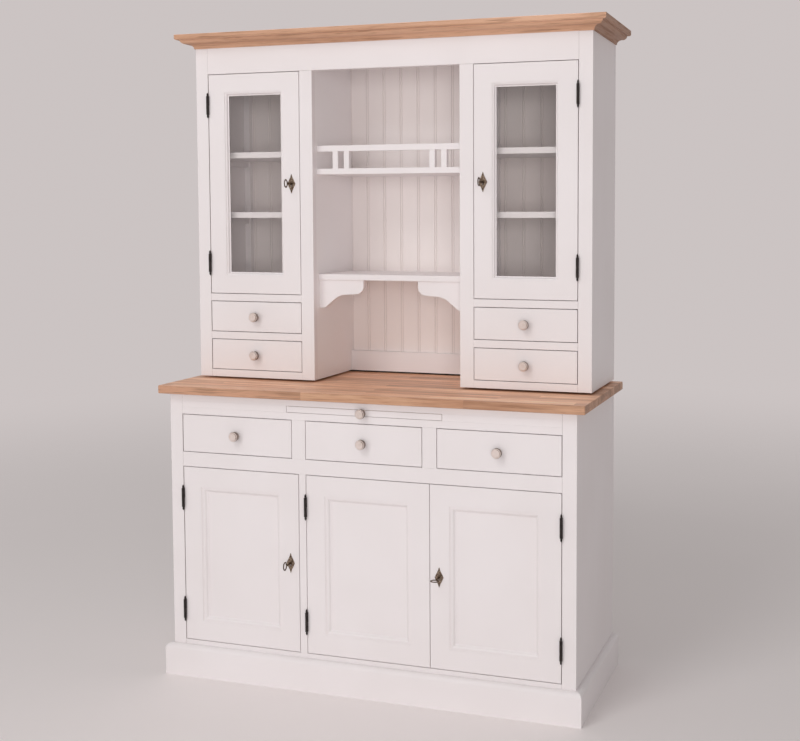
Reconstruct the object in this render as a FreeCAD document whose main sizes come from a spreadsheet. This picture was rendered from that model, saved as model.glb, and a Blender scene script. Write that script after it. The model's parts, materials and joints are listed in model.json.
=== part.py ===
import FreeCAD, Part
import math
import os
import re

import Sketcher

# Driving sizes, in millimetres. They go into the sheet called Sizes.
SIZES = {
    # Carcass of base and hutch
    "body_width": 1296.0,
    "body_depth": 480.0,
    "base_height": 884.0,
    "hutch_height": 1044.0,
    "hutch_setback": 175.0,
    "hutch_lift": 6.0,
    "bearer_width": 40.0,
    "bearer_inset": 12.0,
    # Stock
    "side_thickness": 18.0,
    "shelf_thickness": 18.0,
    "frame_thickness": 22.0,
    "board_ease": 0.6,
    "seat_gap": 0.3,
    "cut_overrun": 5.0,
    # Plinth
    "plinth_height": 98.0,
    "plinth_face": 84.0,
    "plinth_thickness": 20.0,
    # Worktop
    "worktop_thickness": 25.0,
    "worktop_side_overhang": 28.0,
    "worktop_front_overhang": 24.0,
    "worktop_round": 3.0,
    # Front of the base
    "stile_width": 42.0,
    "drawer_divider": 44.0,
    "mullion_width": 22.5,
    "top_rail_height": 63.5,
    "mid_rail_height": 45.0,
    "bottom_rail_height": 51.0,
    "door_sill": 111.0,
    "drawer_height": 118.0,
    "reveal": 2.0,
    # Pull-out board and its slot
    "slide_width": 496.0,
    "slide_thickness": 18.0,
    "slide_depth": 330.0,
    "slide_bearing": 40.0,
    "slide_screw": 20.0,
    "slot_gap": 1.0,
    "slot_rail_height": 21.5,
    # Backs of upright boards
    "back_thickness": 12.0,
    "back_recess": 10.0,
    "back_board_width": 60.0,
    "back_bead": 6.0,
    "back_quirk": 2.0,
    # Inside of the base
    "base_shelf_rise": 265.0,
    "shelf_setback": 10.0,
    "cleat_height": 20.0,
    "cleat_thickness": 15.0,
    "stop_lap": 12.0,
    "guide_height": 25.0,
    # Front of the hutch
    "niche_width": 484.0,
    "post_width": 43.0,
    "small_rail": 23.0,
    "small_drawer_height": 99.0,
    "frieze_height": 81.0,
    # Inside of the cupboards
    "low_cup_shelf_rise": 242.0,
    "high_cup_shelf_rise": 432.0,
    "batten": 20.0,
    # Niche
    "low_shelf_rise": 315.0,
    "low_shelf_setback": 35.0,
    "high_shelf_rise": 644.0,
    "high_shelf_setback": 28.0,
    "niche_rail_height": 66.0,
    "niche_rail_thickness": 12.0,
    "gallery_setback": 32.0,
    "gallery_thickness": 14.0,
    "gallery_gap": 53.0,
    "gallery_lath": 18.5,
    "baluster_width": 18.0,
    "baluster_inner": 142.0,
    "baluster_spacing": 38.0,
    "bracket_setback": 5.0,
    "bracket_width": 151.0,
    "bracket_drop": 88.0,
    # Cornice
    "cornice_height": 41.0,
    "cornice_overhang": 48.0,
    "cornice_seat": 30.0,
    # Doors
    "door_member": 60.0,
    "glass_member": 56.0,
    "panel_depth": 10.0,
    "panel_thickness": 8.0,
    "panel_groove": 8.0,
    "panel_moulding": 20.0,
    "moulding_sink": 1.5,
    "glass_depth": 10.0,
    "glass_thickness": 4.0,
    "glass_rebate": 8.0,
    "glass_moulding": 12.0,
    # Hinges
    "hinge_length": 80.0,
    "hinge_finial": 9.0,
    "hinge_radius": 5.0,
    "hinge_pin_radius": 2.0,
    "hinge_pin_clearance": 0.05,
    "hinge_cap": 5.0,
    "hinge_end_distance": 98.0,
    "hinge_leaf": 2.0,
    "hinge_leaf_depth": 18.0,
    # Locks
    "lock_backset": 28.0,
    "lock_width": 44.0,
    "lock_height": 46.0,
    "lock_thickness": 10.0,
    "lock_wall": 1.5,
    "lock_depth": 5.0,
    "bolt_height": 12.0,
    "bolt_length": 30.0,
    "bolt_travel": 9.0,
    "bolt_play": 0.4,
    "escutcheon_height": 60.0,
    "escutcheon_width": 27.0,
    "escutcheon_thickness": 1.5,
    "keyhole_radius": 2.9,
    "keyhole_slot": 3.4,
    "keyhole_drop": 9.0,
    # Keys
    "key_shaft_radius": 2.4,
    "key_shaft_out": 24.0,
    "key_collar_radius": 3.6,
    "key_collar_length": 3.0,
    "key_bow_height": 27.0,
    "key_bow_depth": 22.0,
    "key_bow_ring": 4.0,
    "key_bow_thickness": 3.2,
    "key_bit_reach": 7.5,
    "key_bit_length": 5.0,
    "key_bit_thickness": 2.0,
    # Drawers
    "drawer_front": 20.0,
    "drawer_side": 12.0,
    "drawer_bottom": 6.0,
    "drawer_bottom_rise": 9.0,
    "drawer_groove": 5.0,
    "drawer_headroom": 9.0,
    # Knobs
    "knob_radius": 14.5,
    "knob_reach": 25.0,
    "knob_collar_radius": 8.5,
    "knob_collar_length": 2.5,
    "knob_neck_radius": 5.5,
    "knob_neck_length": 6.0,
    "knob_flare": 3.0,
    "knob_face_radius": 11.5,
    "knob_face_length": 3.0,
    "knob_round": 1.5,
    "screw_radius": 2.0,
    "screw_grip": 12.0,
    "screw_head_radius": 4.0,
    "screw_head_length": 2.5,
}

# Places and lines worked out from the sizes. They go into the sheet called Lines, each as a formula.
LINES = {
    "half_width": "body_width / 2",
    "key_reach": "escutcheon_thickness + key_shaft_out + key_bow_depth",
    "face": "(key_reach - body_depth) / 2",
    "rear": "face + body_depth",
    "frame_back": "face + frame_thickness",
    "boards_back": "rear - back_recess",
    "boards_front": "boards_back - back_thickness",
    "side_in": "half_width - side_thickness",
    "frame_in": "half_width - stile_width",
    # Base, upwards
    "floor_top": "door_sill",
    "floor_bottom": "floor_top - shelf_thickness",
    "rail_bottom": "floor_top - bottom_rail_height",
    "drawer_top": "base_height - top_rail_height",
    "deck_top": "drawer_top - drawer_height",
    "deck_bottom": "deck_top - shelf_thickness",
    "door_top": "deck_top - mid_rail_height",
    "slot_bottom": "drawer_top + slot_rail_height",
    "slide_bottom": "slot_bottom + slot_gap",
    "slide_top": "slide_bottom + slide_thickness",
    "slot_top": "slide_top + slot_gap",
    "worktop_top": "base_height + worktop_thickness",
    "base_shelf": "floor_top + base_shelf_rise",
    # Base, across
    "slide_half": "slide_width / 2",
    "slot_half": "slide_half + slot_gap",
    "drawer_opening": "(2 * frame_in - 2 * drawer_divider) / 3",
    "divider_in": "drawer_opening / 2",
    "divider_out": "divider_in + drawer_divider",
    "door_opening": "(2 * frame_in - mullion_width) / 3",
    "mullion_left": "door_opening - frame_in",
    "mullion_right": "mullion_left + mullion_width",
    "partition_left": "(mullion_left + mullion_right - side_thickness) / 2",
    "partition_right": "partition_left + side_thickness",
    "meeting": "mullion_right + door_opening",
    # Hutch
    "hutch_face": "face + hutch_setback",
    "hutch_frame_back": "hutch_face + frame_thickness",
    "hutch_foot": "worktop_top + hutch_lift",
    "hutch_top": "hutch_foot + hutch_height",
    "ceiling": "hutch_top - shelf_thickness",
    "low_drawer_floor": "hutch_foot + small_rail",
    "low_drawer_top": "low_drawer_floor + small_drawer_height",
    "high_drawer_floor": "low_drawer_top + small_rail",
    "high_drawer_top": "high_drawer_floor + small_drawer_height",
    "cup_floor": "high_drawer_top + small_rail",
    "cup_top": "hutch_top - frieze_height",
    "niche_half": "niche_width / 2",
    "tower_in": "niche_half + post_width",
    "tower_wall": "niche_half + side_thickness",
    "low_shelf": "hutch_foot + low_shelf_rise",
    "high_shelf": "hutch_foot + high_shelf_rise",
    "gallery_foot": "high_shelf + shelf_thickness",
    "lath_bottom": "gallery_foot + gallery_gap",
    "gallery_face": "hutch_face + gallery_setback",
    "low_shelf_face": "hutch_face + low_shelf_setback",
    "bracket_face": "low_shelf_face + bracket_setback",
    # Left and right edge of each door
    "base_left_from": "reveal - frame_in",
    "base_left_to": "mullion_left - reveal",
    "base_middle_from": "mullion_right + reveal",
    "base_middle_to": "meeting - reveal / 2",
    "base_right_from": "meeting + reveal / 2",
    "base_right_to": "frame_in - reveal",
    "hutch_left_from": "reveal - frame_in",
    "hutch_left_to": "-tower_in - reveal",
    "hutch_right_from": "tower_in + reveal",
    "hutch_right_to": "frame_in - reveal",
    # Doors, hinges and locks
    "leaf_thickness": "frame_thickness - seat_gap",
    "hinge_offset": "hinge_radius + seat_gap",
    "hinge_bore": "hinge_pin_radius + hinge_pin_clearance",
    "knuckle_start": "seat_gap / 2",
    "knuckle_end": "hinge_length / 2 - hinge_finial",
    "hinge_bore_top": "knuckle_end - hinge_cap",
    "hinge_pin_top": "hinge_bore_top - seat_gap",
    "base_lock": "(floor_top + door_top) / 2",
    "hutch_lock": "(cup_floor + cup_top) / 2",
    "bolt_top": "lock_height / 2 - lock_wall - bolt_play",
    "bolt_bottom": "bolt_top - bolt_height",
    "bolt_front": "lock_depth + lock_wall + bolt_play",
    "bolt_back": "lock_depth + lock_thickness - lock_wall - bolt_play",
    "bit_front": "lock_depth + (lock_thickness - key_bit_length) / 2",
    "bit_back": "bit_front + key_bit_length",
    "bow_back": "escutcheon_thickness + key_shaft_out",
    "knob_neck_end": "knob_collar_length + knob_neck_length",
    "knob_head_end": "knob_reach - knob_face_length",
}

# Points of an outline are shares of the piece's own width and height; a pair of points is an arc.
PLINTH_BEAD_SHARES = (0.35, 0.30)
BRACKET_OUTLINE_SHARES = (
    ((0.0, 0.0),),
    ((1.0, 0.0),),
    ((1.0, 0.205),),
    ((0.95, 0.41), (0.83, 0.495)),
    ((0.64, 0.52),),
    ((0.51, 0.548), (0.40, 0.614)),
    ((0.17, 0.925),),
    ((0.135, 0.98), (0.09, 1.0)),
    ((0.0, 1.0),),
)
CORNICE_OUTLINE_SHARES = (
    ((0.08, 0.0),),
    ((0.08, 0.10),),
    ((0.22, 0.28), (0.44, 0.34)),
    ((0.66, 0.42), (0.75, 0.61)),
    ((0.88, 0.61),),
    ((0.965, 0.65), (1.0, 0.76)),
    ((1.0, 1.0),),
)
MOULDING_OUTLINE_SHARES = (
    ((0.0, 1.0),),
    ((0.0, 0.0),),
    ((0.14, 0.0),),
    ((0.14, 0.12),),
    ((0.44, 0.22), (0.58, 0.50)),
    ((0.68, 0.78), (0.96, 0.88)),
    ((0.96, 1.0),),
)
FINIAL_SHARES = ((0.60, 0.12), (0.85, 0.34), (0.28, 0.86))
ESCUTCHEON_WAIST_SHARES = (0.24, 0.70)

FRONT_EDGES = {"left": "Edge1", "right": "Edge5", "bottom": "Edge9", "top": "Edge10"}
WORKTOP_EDGES = ["Edge1", "Edge5", "Edge9", "Edge10", "Edge2", "Edge4", "Edge6", "Edge8"]
TOWARDS_FRONT = FreeCAD.Rotation(FreeCAD.Vector(1, 0, 0), 90)

doc = FreeCAD.newDocument("buffet_cabinet")
sizes = doc.addObject("Spreadsheet::Sheet", "Sizes")
lines = doc.addObject("Spreadsheet::Sheet", "Lines")
nodes = []


def bound(formula, home=None):
    """Names the sheet of each alias in a formula, except for aliases of the sheet that holds it."""

    def sheet_of(match):
        word = match.group(0)
        if word in SIZES:
            return "Sizes." + word
        if word in LINES and home != "Lines":
            return "Lines." + word
        return word

    return re.sub(r"[a-z_]+", sheet_of, formula)


def fill_sheets():
    """Writes the driving sizes as plain numbers and the lines as formulas."""
    for row, (alias, value) in enumerate(SIZES.items(), start=1):
        sizes.set(f"A{row}", alias)
        sizes.set(f"B{row}", str(value))
        sizes.setAlias(f"B{row}", alias)
    for row, (alias, formula) in enumerate(LINES.items(), start=1):
        lines.set(f"A{row}", alias)
        lines.set(f"B{row}", "=" + bound(formula, "Lines"))
        lines.setAlias(f"B{row}", alias)
    doc.recompute()


def size(alias):
    """Value of a driving size or a line."""
    return float(getattr(sizes if alias in SIZES else lines, alias))


def bind(thing, **formulas):
    """Binds properties of an object; a double underscore stands for a dot."""
    for name, formula in formulas.items():
        thing.setExpression(name.replace("__", "."), bound(formula))
    return thing


def seat(thing, east, north, up):
    """Binds the place of an object to formulas for X, Y and Z."""
    return bind(thing, Placement__Base__x=east, Placement__Base__y=north, Placement__Base__z=up)


def flipped(span):
    """The same span on the other side of the middle plane."""
    return (f"-({span[1]})", f"-({span[0]})")


def extent(span):
    """Length of a span as a formula."""
    return f"({span[1]}) - ({span[0]})"


def reach(start, way, near, far):
    """Span from near to far, measured from a line towards +X or, for a way of -1, towards -X."""
    if way > 0:
        return (f"{start} + ({near})", f"{start} + ({far})")
    return (f"{start} - ({far})", f"{start} - ({near})")


def board(name, across, deep, high):
    """A square-edged board that fills three spans."""
    block = doc.addObject("Part::Box", name)
    bind(block, Length=extent(across), Width=extent(deep), Height=extent(high))
    return seat(block, across[0], deep[0], high[0])


def board_pair(name, across, deep, high):
    """A board and its twin on the left."""
    return [board(name + "_right", across, deep, high), board(name + "_left", flipped(across), deep, high)]


def eased_board(name, across, deep, high, edges=("left", "right", "bottom", "top")):
    """A board whose named front edges are eased."""
    body = doc.addObject("PartDesign::Body", name)
    block = body.newObject("PartDesign::AdditiveBox", name + "_block")
    bind(block, Length=extent(across), Width=extent(deep), Height=extent(high))
    ease = body.newObject("PartDesign::Chamfer", name + "_ease")
    ease.Base = (block, [FRONT_EDGES[edge] for edge in edges])
    bind(ease, Size="board_ease")
    return seat(body, across[0], deep[0], high[0])


def cut(name, base, tools):
    """Base less all tools."""
    result = doc.addObject("Part::Cut", name)
    result.Base = base
    result.Tool = tools[0]
    if len(tools) > 1:
        together = doc.addObject("Part::Compound", name + "_tools")
        together.Links = tools
        result.Tool = together
    return result


def fused(name, pieces):
    """One solid from overlapping pieces."""
    result = doc.addObject("Part::MultiFuse", name)
    result.Shapes = pieces
    return result


def rod_forward(name, radius, length, east, north, up):
    """A round rod from a place towards the front."""
    bar = doc.addObject("Part::Cylinder", name)
    bind(bar, Radius=radius, Height=length)
    bar.Placement = FreeCAD.Placement(FreeCAD.Vector(), TOWARDS_FRONT)
    return seat(bar, east, north, up)


def polygon_sketch(body, name, role, corners):
    """A closed polygon whose corners are bound to formulas, on an origin plane of the body."""
    sketch = body.newObject("Sketcher::SketchObject", name)
    plane = next(item for item in body.Origin.OriginFeatures if item.Role == role)
    sketch.AttachmentSupport = [(plane, "")]
    sketch.MapMode = "FlatFace"
    count = len(corners)
    turn = 2 * math.pi / count
    ring = [FreeCAD.Vector(math.cos(turn * index), math.sin(turn * index), 0) for index in range(count)]
    for index in range(count):
        sketch.addGeometry(Part.LineSegment(ring[index], ring[(index + 1) % count]), False)
    for index in range(count):
        sketch.addConstraint(Sketcher.Constraint("Coincident", index, 2, (index + 1) % count, 1))
    for index, corner in enumerate(corners):
        for kind, formula in zip(("DistanceX", "DistanceY"), corner):
            number = sketch.addConstraint(Sketcher.Constraint(kind, -1, 1, index, 1, 1.0))
            sketch.setExpression(f"Constraints[{number}]", bound(formula))
    return sketch


def turned(name, role, corners):
    """A body turned about the sketch's vertical axis; corners give radius and height."""
    body = doc.addObject("PartDesign::Body", name)
    sketch = polygon_sketch(body, name + "_section", role, corners)
    turning = body.newObject("PartDesign::Revolution", name + "_turning")
    turning.Profile = sketch
    turning.ReferenceAxis = (sketch, ["V_Axis"])
    turning.Angle = 360
    return body, turning


def traced(steps, lay):
    """Closed wire through the steps; a step of two points is an arc through the first to the second."""
    first = lay(*steps[0][-1])
    here = first
    edges = []
    for step in steps[1:]:
        there = lay(*step[-1])
        if len(step) == 2:
            edges.append(Part.Arc(here, lay(*step[0]), there).toShape())
        else:
            edges.append(Part.LineSegment(here, there).toShape())
        here = there
    edges.append(Part.LineSegment(here, first).toShape())
    return Part.Wire(edges)


def scaled(shares, width, height):
    """Outline steps in millimetres from shares of a width and a height."""
    return [tuple((across * width, up * height) for across, up in step) for step in shares]


def mitred(section, run, plan, lift):
    """A length of moulding along run, trimmed to its mitred plan."""
    bar = Part.Face(section).extrude(run)
    trim = Part.Face(Part.makePolygon(plan + plan[:1])).extrude(lift)
    return bar.common(trim).Solids[0]


def shaped(name, shape):
    """A piece whose shape is worked out from the sheets."""
    piece = doc.addObject("Part::Feature", name)
    piece.Shape = shape
    return piece


def node(name, pieces):
    """A sub-part under its own name: one piece, or a group of separate ones."""
    result = pieces[0]
    if len(pieces) > 1:
        result = doc.addObject("Part::Compound", "group_" + name)
        result.Links = pieces
    result.Label = name
    nodes.append(result)
    return result


def around_carcass(prefix, steps, front, inner, outer, low, high):
    """Front length and two mitred returns of a moulding; steps give distance outwards and upwards."""
    half = size("half_width")
    rear = size("rear")
    far = half + outer
    near = half - inner
    start = front - outer
    lift = FreeCAD.Vector(0, 0, high - low)
    section = traced(steps, lambda out, up: FreeCAD.Vector(-far, front - out, low + up))
    front_plan = [(-far, start), (far, start), (near, front + inner), (-near, front + inner)]
    plan = [FreeCAD.Vector(east, north, low) for east, north in front_plan]
    pieces = [shaped(prefix + "_front", mitred(section, FreeCAD.Vector(2 * far, 0, 0), plan, lift))]
    run = FreeCAD.Vector(0, rear - start, 0)
    side_plan = [(far, start), (far, rear), (near, rear), (near, front + inner)]
    for place, hand in (("right", 1), ("left", -1)):
        section = traced(steps, lambda out, up: FreeCAD.Vector(hand * (half + out), start, low + up))
        plan = [FreeCAD.Vector(hand * east, north, low) for east, north in side_plan]
        pieces.append(shaped(f"{prefix}_{place}", mitred(section, run, plan, lift)))
    return pieces


def around_opening(prefix, left, right, low, high, front, width, depth):
    """Four mitred moulding strips inside an opening, sloping from their outer edge to the panel."""
    steps = scaled(MOULDING_OUTLINE_SHARES, width, depth)
    lift = FreeCAD.Vector(0, depth, 0)
    corners = [(left, low), (right, low), (right, high), (left, high)]
    inner = [(left + width, low + width), (right - width, low + width)]
    inner += [(right - width, high - width), (left + width, high - width)]
    inward = [(0, 1), (-1, 0), (0, -1), (1, 0)]
    pieces = []
    for side, place in enumerate(("bottom", "right", "top", "left")):
        here = FreeCAD.Vector(corners[side][0], front, corners[side][1])
        there = FreeCAD.Vector(corners[(side + 1) % 4][0], front, corners[(side + 1) % 4][1])
        towards = FreeCAD.Vector(inward[side][0], 0, inward[side][1])
        section = traced(steps, lambda across, down: here + towards * across + FreeCAD.Vector(0, down, 0))
        plan = [here, there]
        plan += [FreeCAD.Vector(inner[turn % 4][0], front, inner[turn % 4][1]) for turn in (side + 1, side)]
        pieces.append(shaped(f"{prefix}_{place}", mitred(section, there - here, plan, lift)))
    return pieces


# Spans that many boards share
BEHIND_FRAME = ("frame_back", "rear")
INSIDE_DEPTH = ("frame_back", "boards_front")
FRAME_DEPTH = ("face", "frame_back")
INSIDE_WIDTH = ("-side_in", "side_in")
RAIL_WIDTH = ("-frame_in", "frame_in")
BASE_HIGH = ("0", "base_height")
HUTCH_INSIDE = ("hutch_frame_back", "boards_front")
HUTCH_FRAME = ("hutch_face", "hutch_frame_back")
HUTCH_HIGH = ("hutch_foot", "hutch_top")
NICHE_WIDTH = ("-niche_half", "niche_half")


class Door:
    """Where one door hangs: its leaf, its face, its hinge axis and its lock."""

    def __init__(self, name, opening, face, way, lock):
        self.name = name
        self.left = name + "_from"
        self.right = name + "_to"
        self.opening = opening
        self.face = face
        self.way = way
        self.lock = lock
        self.low = opening[0] + " + reveal"
        self.high = opening[1] + " - reveal"
        self.axis = self.left + " - reveal / 2" if way > 0 else self.right + " + reveal / 2"
        self.edge = self.right if way > 0 else self.left
        self.deep = (face, face + " + leaf_thickness")

    def hinge_heights(self):
        """Middle of the lower and of the upper hinge."""
        return {
            "low": self.opening[0] + " + hinge_end_distance",
            "high": self.opening[1] + " - hinge_end_distance",
        }

    def leaf_span(self, way, height, upper):
        """Spans of a hinge leaf on the door's side or, for the opposite way, on the frame's side."""
        across = reach(self.axis, way, "reveal / 2", "reveal / 2 + hinge_leaf")
        if upper:
            return across, (f"{height} + knuckle_start", f"{height} + knuckle_end")
        return across, (f"{height} - knuckle_end", f"{height} - knuckle_start")

    def mortises(self, way, upper):
        """Cutters for the hinge leaves in the door's stile or in the face frame."""
        deep = (f"{self.face} - cut_overrun", f"{self.face} + hinge_leaf_depth")
        side = "door" if way == self.way else "frame"
        cutters = []
        for place, height in self.hinge_heights().items():
            across, high = self.leaf_span(way, height, upper)
            cutters.append(board(f"{self.name}_{side}_mortise_{place}", across, deep, high))
        return cutters

    def strike(self):
        """Cutter for the hole that the bolt shoots into."""
        start = f"{self.edge} + reveal" if self.way > 0 else f"{self.edge} - reveal"
        deep = (f"{self.face} + bolt_front - bolt_play", f"{self.face} + bolt_back + bolt_play")
        high = (f"{self.lock} + bolt_bottom - bolt_play", f"{self.lock} + bolt_top + bolt_play")
        return board(self.name + "_strike", reach(start, self.way, "0", "bolt_travel"), deep, high)

    def key_line(self):
        """X of the key's axis."""
        return f"{self.edge} - lock_backset" if self.way > 0 else f"{self.edge} + lock_backset"


BASE_DOOR_OPENING = ("floor_top", "door_top")
CUP_DOOR_OPENING = ("cup_floor", "cup_top")

base_left = Door("base_left", BASE_DOOR_OPENING, "face", 1, "base_lock")
base_middle = Door("base_middle", BASE_DOOR_OPENING, "face", 1, None)
base_right = Door("base_right", BASE_DOOR_OPENING, "face", -1, "base_lock")
hutch_left = Door("hutch_left", CUP_DOOR_OPENING, "hutch_face", 1, "hutch_lock")
hutch_right = Door("hutch_right", CUP_DOOR_OPENING, "hutch_face", -1, "hutch_lock")
DOORS = (base_left, base_middle, base_right, hutch_left, hutch_right)


def plinth():
    """Three boards round the foot, with a rounded upper edge and mitred front corners."""
    thickness = size("plinth_thickness")
    height = size("plinth_height")
    drop = height - size("plinth_face")
    bulge = (thickness - drop * PLINTH_BEAD_SHARES[1], height - drop * PLINTH_BEAD_SHARES[0])
    steps = [
        ((0, 0),),
        ((thickness, 0),),
        ((thickness, height - drop),),
        (bulge, (thickness - drop, height)),
        ((0, height),),
    ]
    node("plinth", around_carcass("plinth", steps, size("face"), 0, thickness, 0, height))


def base_carcass():
    """Sides, floor, partition, drawer deck and two loose shelves."""
    node("base_sides", board_pair("base_side", ("side_in", "half_width"), BEHIND_FRAME, BASE_HIGH))
    shelf_depth = ("frame_back + shelf_setback", "boards_front - seat_gap")
    shelf_high = ("base_shelf", "base_shelf + shelf_thickness")
    left = ("seat_gap - side_in", "partition_left - seat_gap")
    right = ("partition_right + seat_gap", "side_in - seat_gap")
    boards = [
        board("base_floor", INSIDE_WIDTH, INSIDE_DEPTH, ("floor_bottom", "floor_top")),
        board("drawer_deck", INSIDE_WIDTH, INSIDE_DEPTH, ("deck_bottom", "deck_top")),
        board("partition", ("partition_left", "partition_right"), INSIDE_DEPTH, ("floor_top", "deck_bottom")),
        board("base_shelf_left", left, shelf_depth, shelf_high),
        board("base_shelf_right", right, shelf_depth, shelf_high),
    ]
    node("base_boards", boards)


def base_guides():
    """Drawer guides, supports of the pull-out board, shelf cleats and door stops."""
    guide_high = ("deck_top", "deck_top + guide_height")
    pieces = board_pair("drawer_guide_outer", ("frame_in", "side_in"), INSIDE_DEPTH, guide_high)
    pieces += board_pair("drawer_guide_inner", ("divider_in", "divider_out"), INSIDE_DEPTH, guide_high)
    bearing = ("slide_half - slide_bearing", "slide_half + slide_bearing / 2")
    cheek = ("slide_half + seat_gap", "slide_half + slide_bearing / 2")
    beside = ("slide_bottom - seat_gap", "slide_top + seat_gap")
    pieces += board_pair("slide_bearer", bearing, INSIDE_DEPTH, ("drawer_top", beside[0]))
    pieces += board_pair("slide_cheek", cheek, INSIDE_DEPTH, beside)
    pieces += board_pair("slide_kicker", bearing, INSIDE_DEPTH, (beside[1], "base_height"))
    cleat_depth = ("frame_back + shelf_setback", "boards_front")
    cleat_high = ("base_shelf - cleat_height", "base_shelf")
    for wall, way in (("-side_in", 1), ("partition_left", -1), ("partition_right", 1), ("side_in", -1)):
        across = reach(wall, way, "0", "cleat_thickness")
        pieces.append(board(f"base_cleat_{len(pieces)}", across, cleat_depth, cleat_high))
    stop_depth = ("frame_back", "frame_back + cleat_thickness")
    stop_high = ("door_top - stop_lap", "deck_bottom")
    pieces.append(board("base_stop_left", ("-side_in", "partition_left"), stop_depth, stop_high))
    pieces.append(board("base_stop_right", ("partition_right", "side_in"), stop_depth, stop_high))
    node("base_guides", pieces)


def base_face_frame():
    """Stiles, rails, dividers and mullion; the top rail is built up round the board's slot."""
    stile = ("frame_in", "half_width")
    right = eased_board("base_stile_right", stile, FRAME_DEPTH, BASE_HIGH)
    left = eased_board("base_stile_left", flipped(stile), FRAME_DEPTH, BASE_HIGH)
    bar = ("mullion_left", "mullion_right")
    mullion = eased_board("mullion", bar, FRAME_DEPTH, BASE_DOOR_OPENING)
    slot_end = ("slot_half", "frame_in")
    slot_high = ("slot_bottom", "slot_top")
    divider = ("divider_in", "divider_out")
    divider_high = ("deck_top", "drawer_top")
    pieces = [
        cut("base_stile_right_cut", right, base_right.mortises(1, False)),
        cut("base_stile_left_cut", left, base_left.mortises(-1, False)),
        cut("mullion_cut", mullion, base_middle.mortises(-1, False) + [base_left.strike()]),
        eased_board("top_lath", RAIL_WIDTH, FRAME_DEPTH, ("slot_top", "base_height"), ("bottom",)),
        eased_board("slot_lath", RAIL_WIDTH, FRAME_DEPTH, ("drawer_top", "slot_bottom"), ("bottom", "top")),
        eased_board("slot_end_right", slot_end, FRAME_DEPTH, slot_high, ("left",)),
        eased_board("slot_end_left", flipped(slot_end), FRAME_DEPTH, slot_high, ("right",)),
        eased_board("divider_right", divider, FRAME_DEPTH, divider_high, ("left", "right")),
        eased_board("divider_left", flipped(divider), FRAME_DEPTH, divider_high, ("left", "right")),
        eased_board("mid_rail", RAIL_WIDTH, FRAME_DEPTH, ("door_top", "deck_top")),
        eased_board("bottom_rail", RAIL_WIDTH, FRAME_DEPTH, ("rail_bottom", "floor_top")),
    ]
    node("base_face_frame", pieces)


def worktop():
    """Oak top with rounded edges at the front and both ends."""
    across = ("-half_width - worktop_side_overhang", "half_width + worktop_side_overhang")
    deep = ("face - worktop_front_overhang", "rear")
    body = doc.addObject("PartDesign::Body", "worktop_body")
    block = body.newObject("PartDesign::AdditiveBox", "worktop_block")
    bind(block, Length=extent(across), Width=extent(deep), Height="worktop_thickness")
    rounding = body.newObject("PartDesign::Fillet", "worktop_rounding")
    rounding.Base = (block, WORKTOP_EDGES)
    bind(rounding, Radius="worktop_round")
    node("worktop", [seat(body, across[0], deep[0], "base_height")])


def board_back(name, low, high):
    """Upright boards with a bead and a quirk along one edge; the outermost ones are ripped to fit."""
    side_in = size("side_in")
    width = size("back_board_width")
    bead = size("back_bead")
    quirk = size("back_quirk")
    front = size("boards_front")
    back = size("boards_back")
    rise = FreeCAD.Vector(0, 0, high - low)
    room = Part.makeBox(2 * side_in, back - front, high - low, FreeCAD.Vector(-side_in, front, low))
    count = math.ceil(side_in / width)
    pieces = []
    for index in range(-count, count):
        left = index * width
        right = left + width
        steps = [
            ((left, back),),
            ((left, front + quirk),),
            ((left + quirk, front),),
            ((right - bead - quirk, front),),
            ((right - bead - quirk / 2, front + quirk),),
            ((right - bead, front + quirk),),
            ((right - bead / 2, front), (right, front + quirk)),
            ((right, back),),
        ]
        outline = traced(steps, lambda east, north: FreeCAD.Vector(east, north, low))
        plank = Part.Face(outline).extrude(rise).common(room)
        pieces.append(shaped(f"{name}_{len(pieces)}", plank.Solids[0]))
    node(name, pieces)


def door_members(door, member):
    """Two stiles and two rails with eased outer edges."""
    left_stile = (door.left, f"{door.left} + {member}")
    right_stile = (f"{door.right} - {member}", door.right)
    between = (left_stile[1], right_stile[0])
    high = (door.low, door.high)
    bottom = (door.low, f"{door.low} + {member}")
    top = (f"{door.high} - {member}", door.high)
    spans = {
        "left": (left_stile, high, ("left", "bottom", "top")),
        "right": (right_stile, high, ("right", "bottom", "top")),
        "bottom": (between, bottom, ("bottom",)),
        "top": (between, top, ("top",)),
    }
    return {
        place: eased_board(f"{door.name}_member_{place}", across, door.deep, up, edges)
        for place, (across, up, edges) in spans.items()
    }


def keyhole(name, door, front, back):
    """Cutters for a keyhole through a depth: a round hole with a slot below."""
    line = door.key_line()
    length = f"({back}) - ({front})"
    barrel = rod_forward(name + "_hole", "keyhole_radius", length, line, back, door.lock)
    across = (f"{line} - keyhole_slot / 2", f"{line} + keyhole_slot / 2")
    slot = board(name + "_slot", across, (front, back), (f"{door.lock} - keyhole_drop", door.lock))
    return [barrel, slot]


def lock_box(name, door, wall):
    """Block of the lock case, or of its hollow when a wall is taken off all round."""
    across = reach(door.edge, -door.way, wall, f"lock_width - {wall}")
    deep = (f"{door.face} + lock_depth + {wall}", f"{door.face} + lock_depth + lock_thickness - {wall}")
    high = (f"{door.lock} - lock_height / 2 + {wall}", f"{door.lock} + lock_height / 2 - {wall}")
    return board(name, across, deep, high)


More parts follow.
